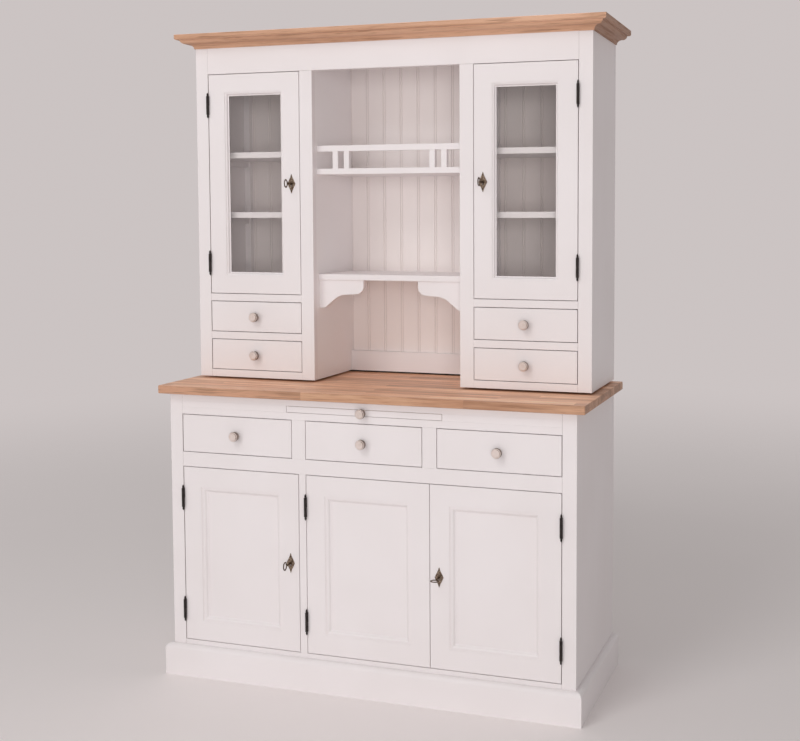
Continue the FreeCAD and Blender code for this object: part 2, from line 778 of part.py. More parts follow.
def door_frame(door, member, inset, mouldings):
    """Stiles and rails cut for their panel or pane, the hinge leaves and the lock, with the mouldings."""
    members = door_members(door, member)
    hinge_side, lock_side = ("left", "right") if door.way > 0 else ("right", "left")
    cutters = {"left": [inset], "right": [inset], "bottom": [inset], "top": [inset]}
    cutters[hinge_side] += door.mortises(door.way, True)
    if door.lock:
        front = f"{door.face} - cut_overrun"
        back = f"{door.face} + lock_depth + cut_overrun"
        cutters[lock_side].append(lock_box(door.name + "_lock_mortise", door, "0"))
        cutters[lock_side] += keyhole(door.name + "_stile_keyhole", door, front, back)
    else:
        cutters[lock_side].append(base_right.strike())
    pieces = [cut(f"{door.name}_{place}_cut", item, cutters[place]) for place, item in members.items()]
    node(door.name + "_frame", pieces + mouldings)


def opening_inside(door, member, extra):
    """Spans of the hole inside a door's stiles and rails, wider all round by an extra."""
    across = (f"{door.left} + {member} - {extra}", f"{door.right} - {member} + {extra}")
    high = (f"{door.low} + {member} - {extra}", f"{door.high} - {member} + {extra}")
    return across, high


def door_mouldings(door, member, width, depth):
    """Moulding strips round the hole inside a door."""
    inset = size("reveal") + size(member)
    left = size(door.left) + size(member)
    right = size(door.right) - size(member)
    low = size(door.opening[0]) + inset
    high = size(door.opening[1]) - inset
    front = size(door.face) + size("moulding_sink")
    slope = size(depth) - size("moulding_sink")
    return around_opening(door.name + "_moulding", left, right, low, high, front, size(width), slope)


def panel_door(door):
    """A base door: a flat panel in grooves, framed by a moulding."""
    across, high = opening_inside(door, "door_member", "panel_groove")
    deep = (f"{door.face} + panel_depth", f"{door.face} + panel_depth + panel_thickness")
    panel = board(door.name + "_panel_board", across, deep, high)
    mouldings = door_mouldings(door, "door_member", "panel_moulding", "panel_depth")
    door_frame(door, "door_member", panel, mouldings)
    node(door.name + "_panel", [panel])


def glass_door(door):
    """A hutch door: a pane in a rebate, a moulding in front of it and beads behind it."""
    across, high = opening_inside(door, "glass_member", "glass_rebate")
    pane_deep = (f"{door.face} + glass_depth", f"{door.face} + glass_depth + glass_thickness")
    rebate_deep = (pane_deep[0], f"{door.face} + frame_thickness + cut_overrun")
    rebate = board(door.name + "_rebate", across, rebate_deep, high)
    bead_deep = (pane_deep[1], door.deep[1])
    left_bead = reach(across[0], 1, "0", "glass_rebate")
    right_bead = reach(across[1], -1, "0", "glass_rebate")
    between = (left_bead[1], right_bead[0])
    pieces = door_mouldings(door, "glass_member", "glass_moulding", "glass_depth")
    pieces += [
        board(door.name + "_bead_left", left_bead, bead_deep, high),
        board(door.name + "_bead_right", right_bead, bead_deep, high),
        board(door.name + "_bead_bottom", between, bead_deep, reach(high[0], 1, "0", "glass_rebate")),
        board(door.name + "_bead_top", between, bead_deep, reach(high[1], -1, "0", "glass_rebate")),
    ]
    door_frame(door, "glass_member", rebate, pieces)
    node(door.name + "_glass", [board(door.name + "_pane", across, pane_deep, high)])


def hinge_half(door, place, height, upper):
    """One half of a hinge: a knuckle with a pointed finial and a leaf; the lower half holds the pin."""
    sign = "" if upper else "-"
    side = "door" if upper else "frame"
    name = f"{door.name}_{side}_hinge_{place}"
    corners = []
    for out, up in FINIAL_SHARES:
        corners.append((f"{out} * hinge_radius", f"{sign}(knuckle_end + {up} * hinge_finial)"))
    corners.append(("0", f"{sign}hinge_length / 2"))
    if upper:
        corners += [("0", "hinge_bore_top"), ("hinge_bore", "hinge_bore_top")]
        corners.append(("hinge_bore", "knuckle_start"))
    else:
        corners += [("0", "hinge_pin_top"), ("hinge_pin_radius", "hinge_pin_top")]
        corners.append(("hinge_pin_radius", "-knuckle_start"))
    corners += [("hinge_radius", f"{sign}knuckle_start"), ("hinge_radius", f"{sign}knuckle_end")]
    knuckle, _ = turned(name + "_knuckle", "XZ_Plane", corners)
    seat(knuckle, door.axis, f"{door.face} - hinge_offset", height)
    across, high = door.leaf_span(door.way if upper else -door.way, height, upper)
    deep = (f"{door.face} - hinge_offset + hinge_bore", f"{door.face} + hinge_leaf_depth")
    return fused(name, [knuckle, board(name + "_leaf", across, deep, high)])


def hinges():
    """Two hinges for each door: one half goes with the door, the other stays on the face frame."""
    fixed = []
    for door in DOORS:
        heights = door.hinge_heights().items()
        fixed += [hinge_half(door, place, height, False) for place, height in heights]
        node(door.name + "_hinges", [hinge_half(door, place, height, True) for place, height in heights])
    node("frame_hinges", fixed)


def lock(door):
    """Mortised lock case with its faceplate opening, and the escutcheon on the stile."""
    name = door.name
    bolt_way = reach(door.edge, -door.way, "-lock_wall", "2 * lock_wall")
    bolt_deep = (f"{door.face} + bolt_front - bolt_play", f"{door.face} + bolt_back + bolt_play")
    bolt_high = (f"{door.lock} + bolt_bottom - bolt_play", f"{door.lock} + bolt_top + bolt_play")
    front = f"{door.face} - cut_overrun"
    back = f"{door.face} + lock_depth + 2 * lock_wall"
    holes = keyhole(name + "_case_keyhole", door, front, back)
    holes.append(lock_box(name + "_lock_hollow", door, "lock_wall"))
    holes.append(board(name + "_bolt_hole", bolt_way, bolt_deep, bolt_high))
    case = cut(name + "_lock_case", lock_box(name + "_lock_block", door, "0"), holes)
    waist_out, waist_up = ESCUTCHEON_WAIST_SHARES
    half = ("escutcheon_width / 2", "escutcheon_height / 2")
    corners = []
    for out, up in ((1, 0), (waist_out, waist_up), (0, 1), (-waist_out, waist_up)):
        corners.append((f"{out} * {half[0]}", f"{up} * {half[1]}"))
    for out, up in ((-1, 0), (-waist_out, -waist_up), (0, -1), (waist_out, -waist_up)):
        corners.append((f"{out} * {half[0]}", f"{up} * {half[1]}"))
    plate = doc.addObject("PartDesign::Body", name + "_plate")
    sketch = polygon_sketch(plate, name + "_plate_outline", "XZ_Plane", corners)
    pad = plate.newObject("PartDesign::Pad", name + "_plate_pad")
    pad.Profile = sketch
    bind(pad, Length="escutcheon_thickness")
    seat(plate, door.key_line(), door.face, door.lock)
    escutcheon = cut(name + "_escutcheon", plate, keyhole(name + "_plate_keyhole", door, front, back))
    node(name + "_lock", [case, escutcheon])


def bolt(door):
    """The lock's bolt, drawn back into the case."""
    across = reach(door.edge, -door.way, "bolt_play", "bolt_play + bolt_length")
    deep = (f"{door.face} + bolt_front", f"{door.face} + bolt_back")
    high = (f"{door.lock} + bolt_bottom", f"{door.lock} + bolt_top")
    node(door.name + "_bolt", [board(door.name + "_bolt_bar", across, deep, high)])


def key_bow(name):
    """Oval ring of a key, lying flat with its long axis along X."""
    tall = size("key_bow_height") / 2
    deep = size("key_bow_depth") / 2
    ring = size("key_bow_ring")
    rise = FreeCAD.Vector(0, 0, size("key_bow_thickness"))
    start = rise * -0.5
    discs = []
    for inset in (0, ring):
        rim = Part.Wire(Part.Ellipse(start, tall - inset, deep - inset).toShape())
        discs.append(Part.Face(rim).extrude(rise))
    return shaped(name, discs[0].cut(discs[1]).Solids[0])


def key(door, half_turned):
    """Key in its lock: bow, collar, shaft and bit; a half-turned key has its bow level."""
    name = door.name + "_key"
    line = door.key_line()
    bow = key_bow(name + "_bow")
    rest = f"{line} - key_bit_thickness / 2", f"{line} + key_bit_thickness / 2"
    bit_deep = (f"{door.face} + bit_front", f"{door.face} + bit_back")
    if half_turned:
        level = (f"{door.lock} - key_bit_thickness / 2", f"{door.lock} + key_bit_thickness / 2")
        bit = board(name + "_bit", reach(line, -door.way, "0", "key_bit_reach"), bit_deep, level)
    else:
        bow.Placement = FreeCAD.Placement(FreeCAD.Vector(), FreeCAD.Rotation(FreeCAD.Vector(0, 1, 0), 90))
        bit = board(name + "_bit", rest, bit_deep, (f"{door.lock} - key_bit_reach", door.lock))
    seat(bow, line, f"{door.face} - bow_back - key_bow_depth / 2", door.lock)
    shaft_length = "bit_back + bow_back + key_bow_ring / 2"
    shaft = rod_forward(name + "_shaft", "key_shaft_radius", shaft_length, line, bit_deep[1], door.lock)
    collar_start = f"{door.face} - escutcheon_thickness - seat_gap"
    collar = rod_forward(
        name + "_collar", "key_collar_radius", "key_collar_length", line, collar_start, door.lock
    )
    node(name, [fused(name + "_whole", [shaft, collar, bow, bit])])


def knob(name, line, front, height, inner, headed):
    """A turned knob and the screw that holds it through, or in, the wood behind it."""
    corners = [
        ("screw_radius", "0"),
        ("knob_collar_radius", "0"),
        ("knob_collar_radius", "-knob_collar_length"),
        ("knob_neck_radius", "-knob_collar_length"),
        ("knob_neck_radius", "-knob_neck_end"),
        ("knob_radius", "-knob_neck_end - knob_flare"),
        ("knob_radius", "-knob_head_end"),
        ("knob_face_radius", "-knob_head_end"),
        ("knob_face_radius", "-knob_reach"),
        ("0", "-knob_reach"),
        ("0", "-screw_grip"),
        ("screw_radius", "-screw_grip"),
    ]
    head, turning = turned(name + "_head", "XY_Plane", corners)
    doc.recompute()
    rim = [
        f"Edge{number}"
        for number, edge in enumerate(turning.Shape.Edges, start=1)
        if isinstance(edge.Curve, Part.Circle) and math.isclose(edge.Curve.Radius, size("knob_radius"))
    ]
    rounding = head.newObject("PartDesign::Fillet", name + "_rounding")
    rounding.Base = (turning, rim)
    bind(rounding, Radius="knob_round")
    seat(head, line, front, height)
    back = f"{front} + {inner}"
    screw = rod_forward(name + "_shank", "screw_radius", f"{inner} + screw_grip", line, back, height)
    if headed:
        behind = f"{back} + screw_head_length"
        screw_head = rod_forward(
            name + "_screw_head", "screw_head_radius", "screw_head_length", line, behind, height
        )
        screw = fused(name + "_screw", [screw, screw_head])
    node(name, [head, screw])


def screw_hole(name, line, front, height, inner):
    """Cutter for a knob's screw in the wood behind the knob."""
    length = f"{inner} + cut_overrun"
    back = f"{front} + {inner}"
    return rod_forward(name + "_screw_hole", "screw_radius + seat_gap", length, line, back, height)


def drawer(name, opening, floor, ceiling, face):
    """An inset drawer: front, sides, back and a bottom in grooves, and its knob."""
    across = (f"{opening[0]} + reveal", f"{opening[1]} - reveal")
    front_high = (f"{floor} + reveal", f"{ceiling} - reveal")
    box_high = (f"{floor} + seat_gap", f"{ceiling} - drawer_headroom")
    inner = f"{face} + drawer_front"
    box_deep = (inner, "boards_front - seat_gap")
    back_deep = ("boards_front - seat_gap - drawer_side", "boards_front - seat_gap")
    left = reach(across[0], 1, "0", "drawer_side")
    right = reach(across[1], -1, "0", "drawer_side")
    bottom_high = (f"{floor} + drawer_bottom_rise", f"{floor} + drawer_bottom_rise + drawer_bottom")
    bottom_across = (f"{left[1]} - drawer_groove", f"{right[0]} + drawer_groove")
    bottom_deep = (f"{inner} - drawer_groove", box_deep[1])
    bottom = board(name + "_bottom", bottom_across, bottom_deep, bottom_high)
    middle = f"({opening[0]} + {opening[1]}) / 2"
    height = f"({floor} + {ceiling}) / 2"
    front = eased_board(name + "_front", across, (face, inner), front_high)
    hole = screw_hole(name, middle, face, height, "drawer_front + cut_overrun")
    pieces = [
        cut(name + "_front_cut", front, [bottom, hole]),
        cut(name + "_side_left_cut", board(name + "_side_left", left, box_deep, box_high), [bottom]),
        cut(name + "_side_right_cut", board(name + "_side_right", right, box_deep, box_high), [bottom]),
        board(name + "_back", (left[1], right[0]), back_deep, (bottom_high[1], box_high[1])),
        bottom,
    ]
    node(name, pieces)
    knob(name + "_knob", middle, face, height, "drawer_front", True)


def drawers():
    """Three drawers in the base and two in each tower of the hutch."""
    side = ("divider_out", "frame_in")
    drawer("drawer_left", flipped(side), "deck_top", "drawer_top", "face")
    drawer("drawer_middle", ("-divider_in", "divider_in"), "deck_top", "drawer_top", "face")
    drawer("drawer_right", side, "deck_top", "drawer_top", "face")
    tower = ("tower_in", "frame_in")
    for place, across in (("left", flipped(tower)), ("right", tower)):
        drawer(f"small_drawer_{place}_low", across, "low_drawer_floor", "low_drawer_top", "hutch_face")
        drawer(f"small_drawer_{place}_high", across, "high_drawer_floor", "high_drawer_top", "hutch_face")


def pull_out_board():
    """The board that slides out above the middle drawer, with its knob."""
    across = ("-slide_half", "slide_half")
    plank = eased_board("slide_board", across, ("face", "face + slide_depth"), ("slide_bottom", "slide_top"))
    height = "(slide_bottom + slide_top) / 2"
    hole = screw_hole("slide", "0", "face", height, "slide_screw")
    node("pull_out_board", [cut("slide_board_cut", plank, [hole])])
    knob("pull_out_knob", "0", "face", height, "slide_screw", False)


def hutch_carcass():
    """Sides, partitions, tower floors, top, bearers and the loose cupboard shelves."""
    side_deep = ("hutch_frame_back", "rear")
    node("hutch_sides", board_pair("hutch_side", ("side_in", "half_width"), side_deep, HUTCH_HIGH))
    tower = ("tower_wall", "side_in")
    wall = ("niche_half", "tower_wall")
    pieces = board_pair("hutch_partition", wall, HUTCH_INSIDE, ("hutch_foot", "ceiling"))
    pieces.append(board("hutch_ceiling", INSIDE_WIDTH, HUTCH_INSIDE, ("ceiling", "hutch_top")))
    for level in ("low_drawer_floor", "high_drawer_floor", "cup_floor"):
        pieces += board_pair("tower_" + level, tower, HUTCH_INSIDE, (f"{level} - shelf_thickness", level))
    bearer_deep = ("hutch_frame_back + bearer_inset", "boards_front - bearer_inset")
    bearer_high = ("worktop_top", "low_drawer_floor - shelf_thickness")
    outer = reach("side_in", -1, "bearer_inset", "bearer_inset + bearer_width")
    inner = reach("tower_wall", 1, "bearer_inset", "bearer_inset + bearer_width")
    pieces += board_pair("bearer_outer", outer, bearer_deep, bearer_high)
    pieces += board_pair("bearer_inner", inner, bearer_deep, bearer_high)
    rear_deep = ("boards_front", "boards_back")
    pieces.append(board("bearer_rear", INSIDE_WIDTH, rear_deep, ("worktop_top", "hutch_foot")))
    shelf_across = ("tower_wall + seat_gap", "side_in - seat_gap")
    shelf_deep = ("hutch_frame_back + shelf_setback", "boards_front - seat_gap")
    notch_deep = ("boards_front - batten - seat_gap", "boards_front + cut_overrun")
    for rise in ("low_cup_shelf_rise", "high_cup_shelf_rise"):
        high = (f"cup_floor + {rise}", f"cup_floor + {rise} + shelf_thickness")
        near = reach("tower_wall", 1, "0", "batten + seat_gap")
        far = reach("side_in", -1, "0", "batten + seat_gap")
        for place in ("right", "left"):
            turn = flipped if place == "left" else tuple
            name = f"{rise}_{place}"
            shelf = board(name, turn(shelf_across), shelf_deep, high)
            notches = [board(name + "_notch_near", turn(near), notch_deep, high)]
            notches.append(board(name + "_notch_far", turn(far), notch_deep, high))
            pieces.append(cut(name + "_cut", shelf, notches))
    node("hutch_boards", pieces)


def hutch_guides():
    """Drawer guides, corner battens, shelf cleats and door stops."""
    pieces = []
    for floor in ("low_drawer_floor", "high_drawer_floor"):
        high = (floor, f"{floor} + guide_height")
        pieces += board_pair(floor + "_guide_near", ("tower_wall", "tower_in"), HUTCH_INSIDE, high)
        pieces += board_pair(floor + "_guide_far", ("frame_in", "side_in"), HUTCH_INSIDE, high)
    walls = {"near": ("tower_wall", 1), "far": ("side_in", -1)}
    batten_deep = ("boards_front - batten", "boards_front")
    cleat_deep = ("hutch_frame_back + shelf_setback", batten_deep[0])
    for place, (wall, way) in walls.items():
        across = reach(wall, way, "0", "batten")
        pieces += board_pair("batten_" + place, across, batten_deep, ("cup_floor", "ceiling"))
        across = reach(wall, way, "0", "cleat_thickness")
        for rise in ("low_cup_shelf_rise", "high_cup_shelf_rise"):
            high = (f"cup_floor + {rise} - cleat_height", f"cup_floor + {rise}")
            pieces += board_pair(f"{rise}_cleat_{place}", across, cleat_deep, high)
    stop_deep = ("hutch_frame_back", "hutch_frame_back + cleat_thickness")
    stop_high = ("cup_top - stop_lap", "cup_top + stop_lap")
    pieces += board_pair("cup_stop", ("tower_wall", "side_in"), stop_deep, stop_high)
    node("hutch_guides", pieces)


def hutch_face_frame():
    """Outer stiles, posts beside the niche, frieze and the small rails round the drawers."""
    stile = ("frame_in", "half_width")
    post = ("niche_half", "tower_in")
    post_high = ("hutch_foot", "cup_top")
    stile_right = eased_board("hutch_stile_right", stile, HUTCH_FRAME, HUTCH_HIGH)
    stile_left = eased_board("hutch_stile_left", flipped(stile), HUTCH_FRAME, HUTCH_HIGH)
    post_right = eased_board("post_right", post, HUTCH_FRAME, post_high)
    post_left = eased_board("post_left", flipped(post), HUTCH_FRAME, post_high)
    pieces = [
        cut("hutch_stile_right_cut", stile_right, hutch_right.mortises(1, False)),
        cut("hutch_stile_left_cut", stile_left, hutch_left.mortises(-1, False)),
        cut("post_right_cut", post_right, [hutch_right.strike()]),
        cut("post_left_cut", post_left, [hutch_left.strike()]),
        eased_board("frieze", RAIL_WIDTH, HUTCH_FRAME, ("cup_top", "hutch_top"), ("bottom",)),
    ]
    across = ("tower_in", "frame_in")
    for level in ("low_drawer_floor", "high_drawer_floor", "cup_floor"):
        high = (f"{level} - small_rail", level)
        pieces.append(eased_board(f"rail_{level}_right", across, HUTCH_FRAME, high))
        pieces.append(eased_board(f"rail_{level}_left", flipped(across), HUTCH_FRAME, high))
    node("hutch_face_frame", pieces)


def niche():
    """Two shelves with a gallery on the upper one, a rail at the foot of the back, and brackets."""
    rail_deep = ("boards_front - niche_rail_thickness", "boards_front")
    rail_high = ("hutch_foot", "hutch_foot + niche_rail_height")
    low_high = ("low_shelf", "low_shelf + shelf_thickness")
    low_deep = ("low_shelf_face", "boards_front")
    upper_high = ("high_shelf", "gallery_foot")
    upper_deep = ("hutch_face + high_shelf_setback", "boards_front")
    edges = ("bottom", "top")
    shelves = [
        eased_board("niche_rail", NICHE_WIDTH, rail_deep, rail_high, ("top",)),
        eased_board("low_niche_shelf", NICHE_WIDTH, low_deep, low_high, edges),
        eased_board("high_niche_shelf", NICHE_WIDTH, upper_deep, upper_high, edges),
    ]
    node("niche_shelves", shelves)
    deep = ("gallery_face", "gallery_face + gallery_thickness")
    lath_high = ("lath_bottom", "lath_bottom + gallery_lath")
    gallery = [eased_board("gallery_lath_bar", NICHE_WIDTH, deep, lath_high, ("bottom", "top"))]
    for place, middle in (("inner", "baluster_inner"), ("outer", "baluster_inner + baluster_spacing")):
        across = (f"{middle} - baluster_width / 2", f"{middle} + baluster_width / 2")
        high = ("gallery_foot", "lath_bottom")
        edges = ("left", "right")
        gallery.append(eased_board(f"baluster_{place}_right", across, deep, high, edges))
        gallery.append(eased_board(f"baluster_{place}_left", flipped(across), deep, high, edges))
    node("gallery_rail", gallery)


def scroll_brackets():
    """Two scroll-cut brackets under the lower niche shelf."""
    steps = scaled(BRACKET_OUTLINE_SHARES, size("bracket_width"), size("bracket_drop"))
    wall = size("niche_half")
    front = size("bracket_face")
    shelf = size("low_shelf")
    pieces = []
    for place, hand in (("right", 1), ("left", -1)):
        outline = traced(steps, lambda out, down: FreeCAD.Vector(hand * (wall - out), front, shelf - down))
        bracket = Part.Face(outline).extrude(FreeCAD.Vector(0, size("shelf_thickness"), 0))
        pieces.append(shaped("bracket_" + place, bracket))
    node("scroll_brackets", pieces)


def cornice():
    """Oak moulding round the top of the hutch, mitred at the front corners."""
    height = size("cornice_height")
    overhang = size("cornice_overhang")
    seated = size("cornice_seat")
    steps = [((-seated, 0),)]
    steps += scaled(CORNICE_OUTLINE_SHARES, overhang, height)
    steps += [((-seated, height),)]
    face = size("hutch_face")
    low = size("hutch_top")
    node("cornice", around_carcass("cornice", steps, face, seated, overhang, low, low + height))


def faults():
    """Objects that failed to compute and sub-parts without a sound shape."""
    found = [thing.Name for thing in doc.Objects if {"Invalid", "Error"} & set(thing.State)]
    found += [item.Label for item in nodes if item.Shape.isNull() or not item.Shape.isValid()]
    return found


fill_sheets()

plinth()
base_carcass()
base_guides()
base_face_frame()
board_back("base_back", size("rail_bottom"), size("base_height"))
worktop()
hutch_carcass()
hutch_guides()
hutch_face_frame()
board_back("hutch_back", size("hutch_foot"), size("hutch_top"))
niche()
scroll_brackets()
cornice()
for panelled in (base_left, base_middle, base_right):
    panel_door(panelled)
for glazed in (hutch_left, hutch_right):
    glass_door(glazed)
hinges()
for locked in (base_left, base_right, hutch_left, hutch_right):
    lock(locked)
    bolt(locked)
    key(locked, locked is base_right)
drawers()
pull_out_board()

doc.recompute()
failed = faults()
if failed:
    raise RuntimeError("failed: " + ", ".join(failed))
os.makedirs("parts", exist_ok=True)
for item in nodes:
    item.Shape.exportStep(f"parts/{item.Label}.step")
print(len(nodes), "sub-parts written")
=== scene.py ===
"""Looks of a country buffet cabinet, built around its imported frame."""

import json
import logging
import math
from dataclasses import dataclass
from enum import Enum
from typing import Iterable, Sequence

import bmesh
import bpy
from mathutils import Matrix, Vector

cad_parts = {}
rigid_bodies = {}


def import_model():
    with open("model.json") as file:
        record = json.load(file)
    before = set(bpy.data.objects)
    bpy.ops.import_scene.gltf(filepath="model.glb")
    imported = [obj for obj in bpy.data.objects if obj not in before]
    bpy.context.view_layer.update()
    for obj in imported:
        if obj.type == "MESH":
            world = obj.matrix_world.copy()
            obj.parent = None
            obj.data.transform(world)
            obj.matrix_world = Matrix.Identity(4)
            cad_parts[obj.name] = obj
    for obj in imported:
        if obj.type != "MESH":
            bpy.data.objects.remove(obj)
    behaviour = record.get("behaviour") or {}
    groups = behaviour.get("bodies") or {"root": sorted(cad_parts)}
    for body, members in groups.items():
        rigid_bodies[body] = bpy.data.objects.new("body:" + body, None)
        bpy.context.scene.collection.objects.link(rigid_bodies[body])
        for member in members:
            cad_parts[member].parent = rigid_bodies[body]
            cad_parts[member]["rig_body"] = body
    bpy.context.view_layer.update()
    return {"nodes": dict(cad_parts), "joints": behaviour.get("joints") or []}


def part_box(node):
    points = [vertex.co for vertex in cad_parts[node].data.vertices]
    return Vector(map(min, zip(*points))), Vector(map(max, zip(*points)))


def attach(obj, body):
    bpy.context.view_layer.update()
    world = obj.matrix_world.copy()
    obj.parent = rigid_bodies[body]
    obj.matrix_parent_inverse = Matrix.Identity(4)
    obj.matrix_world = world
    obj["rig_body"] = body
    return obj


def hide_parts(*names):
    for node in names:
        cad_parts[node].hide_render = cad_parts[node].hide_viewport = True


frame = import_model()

LOG = logging.getLogger("buffet_cabinet")
MM = 0.001
CREASE = math.radians(35)
MERGE = 0.001 * MM
NODES = frame["nodes"]
JOINTS = {joint["name"]: joint for joint in frame["joints"]}
LOCKED_DOORS = ("base_left", "base_right", "hutch_left", "hutch_right")

Socket = bpy.types.NodeSocket
Value = float | Socket
Profile = Sequence[tuple[float, float]]


class Grain(Enum):
    """Direction that the fibres of a piece of wood run in."""

    ACROSS = (1.0, 0.0, 0.0)
    UPRIGHT = (0.0, 0.0, 1.0)


class Slot(Enum):
    """Names of three material slots of the record."""

    IRON = "blackened_iron"
    BRASS = "aged_brass"
    NICKEL = "satin_nickel"


class Graph:
    """Node tree, emptied, with short ways to add and join its nodes."""

    def __init__(self, owner: bpy.types.Material | bpy.types.World, output: str) -> None:
        """Starts the tree of a material or a world.

        Args:
            owner: Material or world.
            output: Kind of its output node.
        """
        owner.use_nodes = True
        self.tree = owner.node_tree
        self.tree.nodes.clear()
        self.output = self.add(output)

    def add(self, kind: str) -> bpy.types.Node:
        """Adds a node of a kind."""
        return self.tree.nodes.new("ShaderNode" + kind)

    def feed(self, socket: Socket, value: object) -> None:
        """Joins a socket to another, or sets it.

        Args:
            socket: Input to feed.
            value: Output socket, number, colour or vector.
        """
        if isinstance(value, bpy.types.NodeSocket):
            self.tree.links.new(value, socket)
        elif isinstance(value, tuple) and len(value) == 3 and socket.type == "RGBA":
            socket.default_value = (*value, 1.0)
        else:
            socket.default_value = value

    def math(self, operation: str, first: Value, second: Value = 0.0) -> Socket:
        """Adds a sum of two numbers.

        Args:
            operation: Name of the operation.
            first: First number.
            second: Second number.

        Returns:
            Output of the new node.
        """
        node = self.add("Math")
        node.operation = operation
        self.feed(node.inputs[0], first)
        self.feed(node.inputs[1], second)
        return node.outputs[0]

    def vector(self, operation: str, first: Socket, second: object) -> Socket:
        """Adds a sum of two vectors.

        Args:
            operation: Name of the operation.
            first: First vector.
            second: Second vector, or a number for all three of its parts.

        Returns:
            Output of the new node.
        """
        node = self.add("VectorMath")
        node.operation = operation
        self.feed(node.inputs[0], first)
        self.feed(node.inputs[1], second)
        return node.outputs[0]

    def spread(
        self,
        value: Socket,
        low: float,
        high: float,
        start: float = 0.0,
        end: float = 1.0,
        course: str = "SMOOTHSTEP",
    ) -> Socket:
        """Maps a number from one range to another.

        Args:
            value: Number to map.
            low: Start of the range that it comes from.
            high: End of that range.
            start: Result at the start.
            end: Result at the end.
            course: How the result runs from start to end.

        Returns:
            The mapped number.
        """
        node = self.add("MapRange")
        node.interpolation_type = course
        for socket, number in zip(node.inputs, (value, low, high, start, end)):
            self.feed(socket, number)
        return node.outputs[0]

    def choose(self, share: Value, first: Socket, second: Socket) -> Socket:
        """Mixes two shaders.

        Args:
            share: Share of the second shader.
            first: First shader.
            second: Second shader.

        Returns:
            The mixed shader.
        """
        node = self.add("MixShader")
        for socket, value in zip(node.inputs, (share, first, second)):
            self.feed(socket, value)
        return node.outputs[0]


class Recipe(Graph):
    """Node tree of one material."""

    def __init__(self, name: str) -> None:
        """Starts a material with one main shader.

        Args:
            name: Name of the material.
        """
        self.material = bpy.data.materials.new(name)
        super().__init__(self.material, "OutputMaterial")
        self.shader = self.add("BsdfPrincipled")
        self.feed(self.output.inputs[0], self.shader.outputs[0])
        self.coordinates = self.add("TexCoord").outputs["Object"]

    def set(self, **values: object) -> None:
        """Feeds inputs of the main shader.

        Args:
            values: Inputs by name, with underscores for spaces.
        """
        for name, value in values.items():
            self.feed(self.shader.inputs[name.replace("_", " ")], value)

    def axes(self) -> list[Socket]:
        """X, Y and Z of the surface as three outputs."""
        node = self.add("SeparateXYZ")
        self.feed(node.inputs[0], self.coordinates)
        return list(node.outputs)

    def stretched(self, scale: tuple[float, float, float]) -> Socket:
        """Coordinates scaled for a pattern that is longer one way.

        Args:
            scale: Repeats per metre along X, Y and Z.

        Returns:
            Coordinates for a texture node.
        """
        mapping = self.add("Mapping")
        self.feed(mapping.inputs["Vector"], self.coordinates)
        self.feed(mapping.inputs["Scale"], scale)
        return mapping.outputs[0]

    def noise(self, place: Socket, scale: float, detail: float = 3.0, rough: float = 0.55) -> Socket:
        """Adds a soft random pattern.

        Args:
            place: Coordinates of the pattern.
            scale: Size of the pattern's features, as repeats.
            detail: Number of finer layers.
            rough: Share of the finer layers.

        Returns:
            Number from 0 to 1.
        """
        node = self.add("TexNoise")
        self.feed(node.inputs["Vector"], place)
        self.feed(node.inputs["Scale"], scale)
        self.feed(node.inputs["Detail"], detail)
        self.feed(node.inputs["Roughness"], rough)
        return node.outputs[0]

    def blend(self, share: Value, first: object, second: object, mode: str = "MIX") -> Socket:
        """Mixes two colours.

        Args:
            share: Share of the second colour.
            first: First colour.
            second: Second colour.
            mode: Way of mixing.

        Returns:
            The mixed colour.
        """
        node = self.add("Mix")
        node.data_type = "RGBA"
        node.blend_type = mode
        self.feed(node.inputs["Factor"], share)
        self.feed(node.inputs[6], first)
        self.feed(node.inputs[7], second)
        return node.outputs[2]

    def bump(self, height: Socket, depth: float, strength: float) -> bpy.types.Material:
        """Gives the surface a fine relief, which ends the recipe.

        Args:
            height: Height from 0 to 1.
            depth: Depth of the relief in metres.
            strength: Share of the relief that shows.

        Returns:
            The finished material.
        """
        node = self.add("Bump")
        self.feed(node.inputs["Height"], height)
        self.feed(node.inputs["Distance"], depth)
        self.feed(node.inputs["Strength"], strength)
        self.feed(self.shader.inputs["Normal"], node.outputs[0])
        return self.material


@dataclass(frozen=True)
class Patch:
    """A flat span across and upwards, such as the hairline joint between two boards."""

    across: tuple[float, float]
    up: tuple[float, float]

    def mask(self, recipe: Recipe) -> Socket:
        """Where the patch covers the surface.

        Args:
            recipe: Material that gets the patch.

        Returns:
            Number that is 1 on the patch and 0 elsewhere.
        """
        x, _, z = recipe.axes()
        covered: list[Socket] = []
        for place, (low, high) in ((x, self.across), (z, self.up)):
            away = recipe.math("ABSOLUTE", recipe.math("SUBTRACT", place, (low + high) / 2))
            covered.append(recipe.math("LESS_THAN", away, (high - low) / 2))
        return recipe.math("MULTIPLY", *covered)


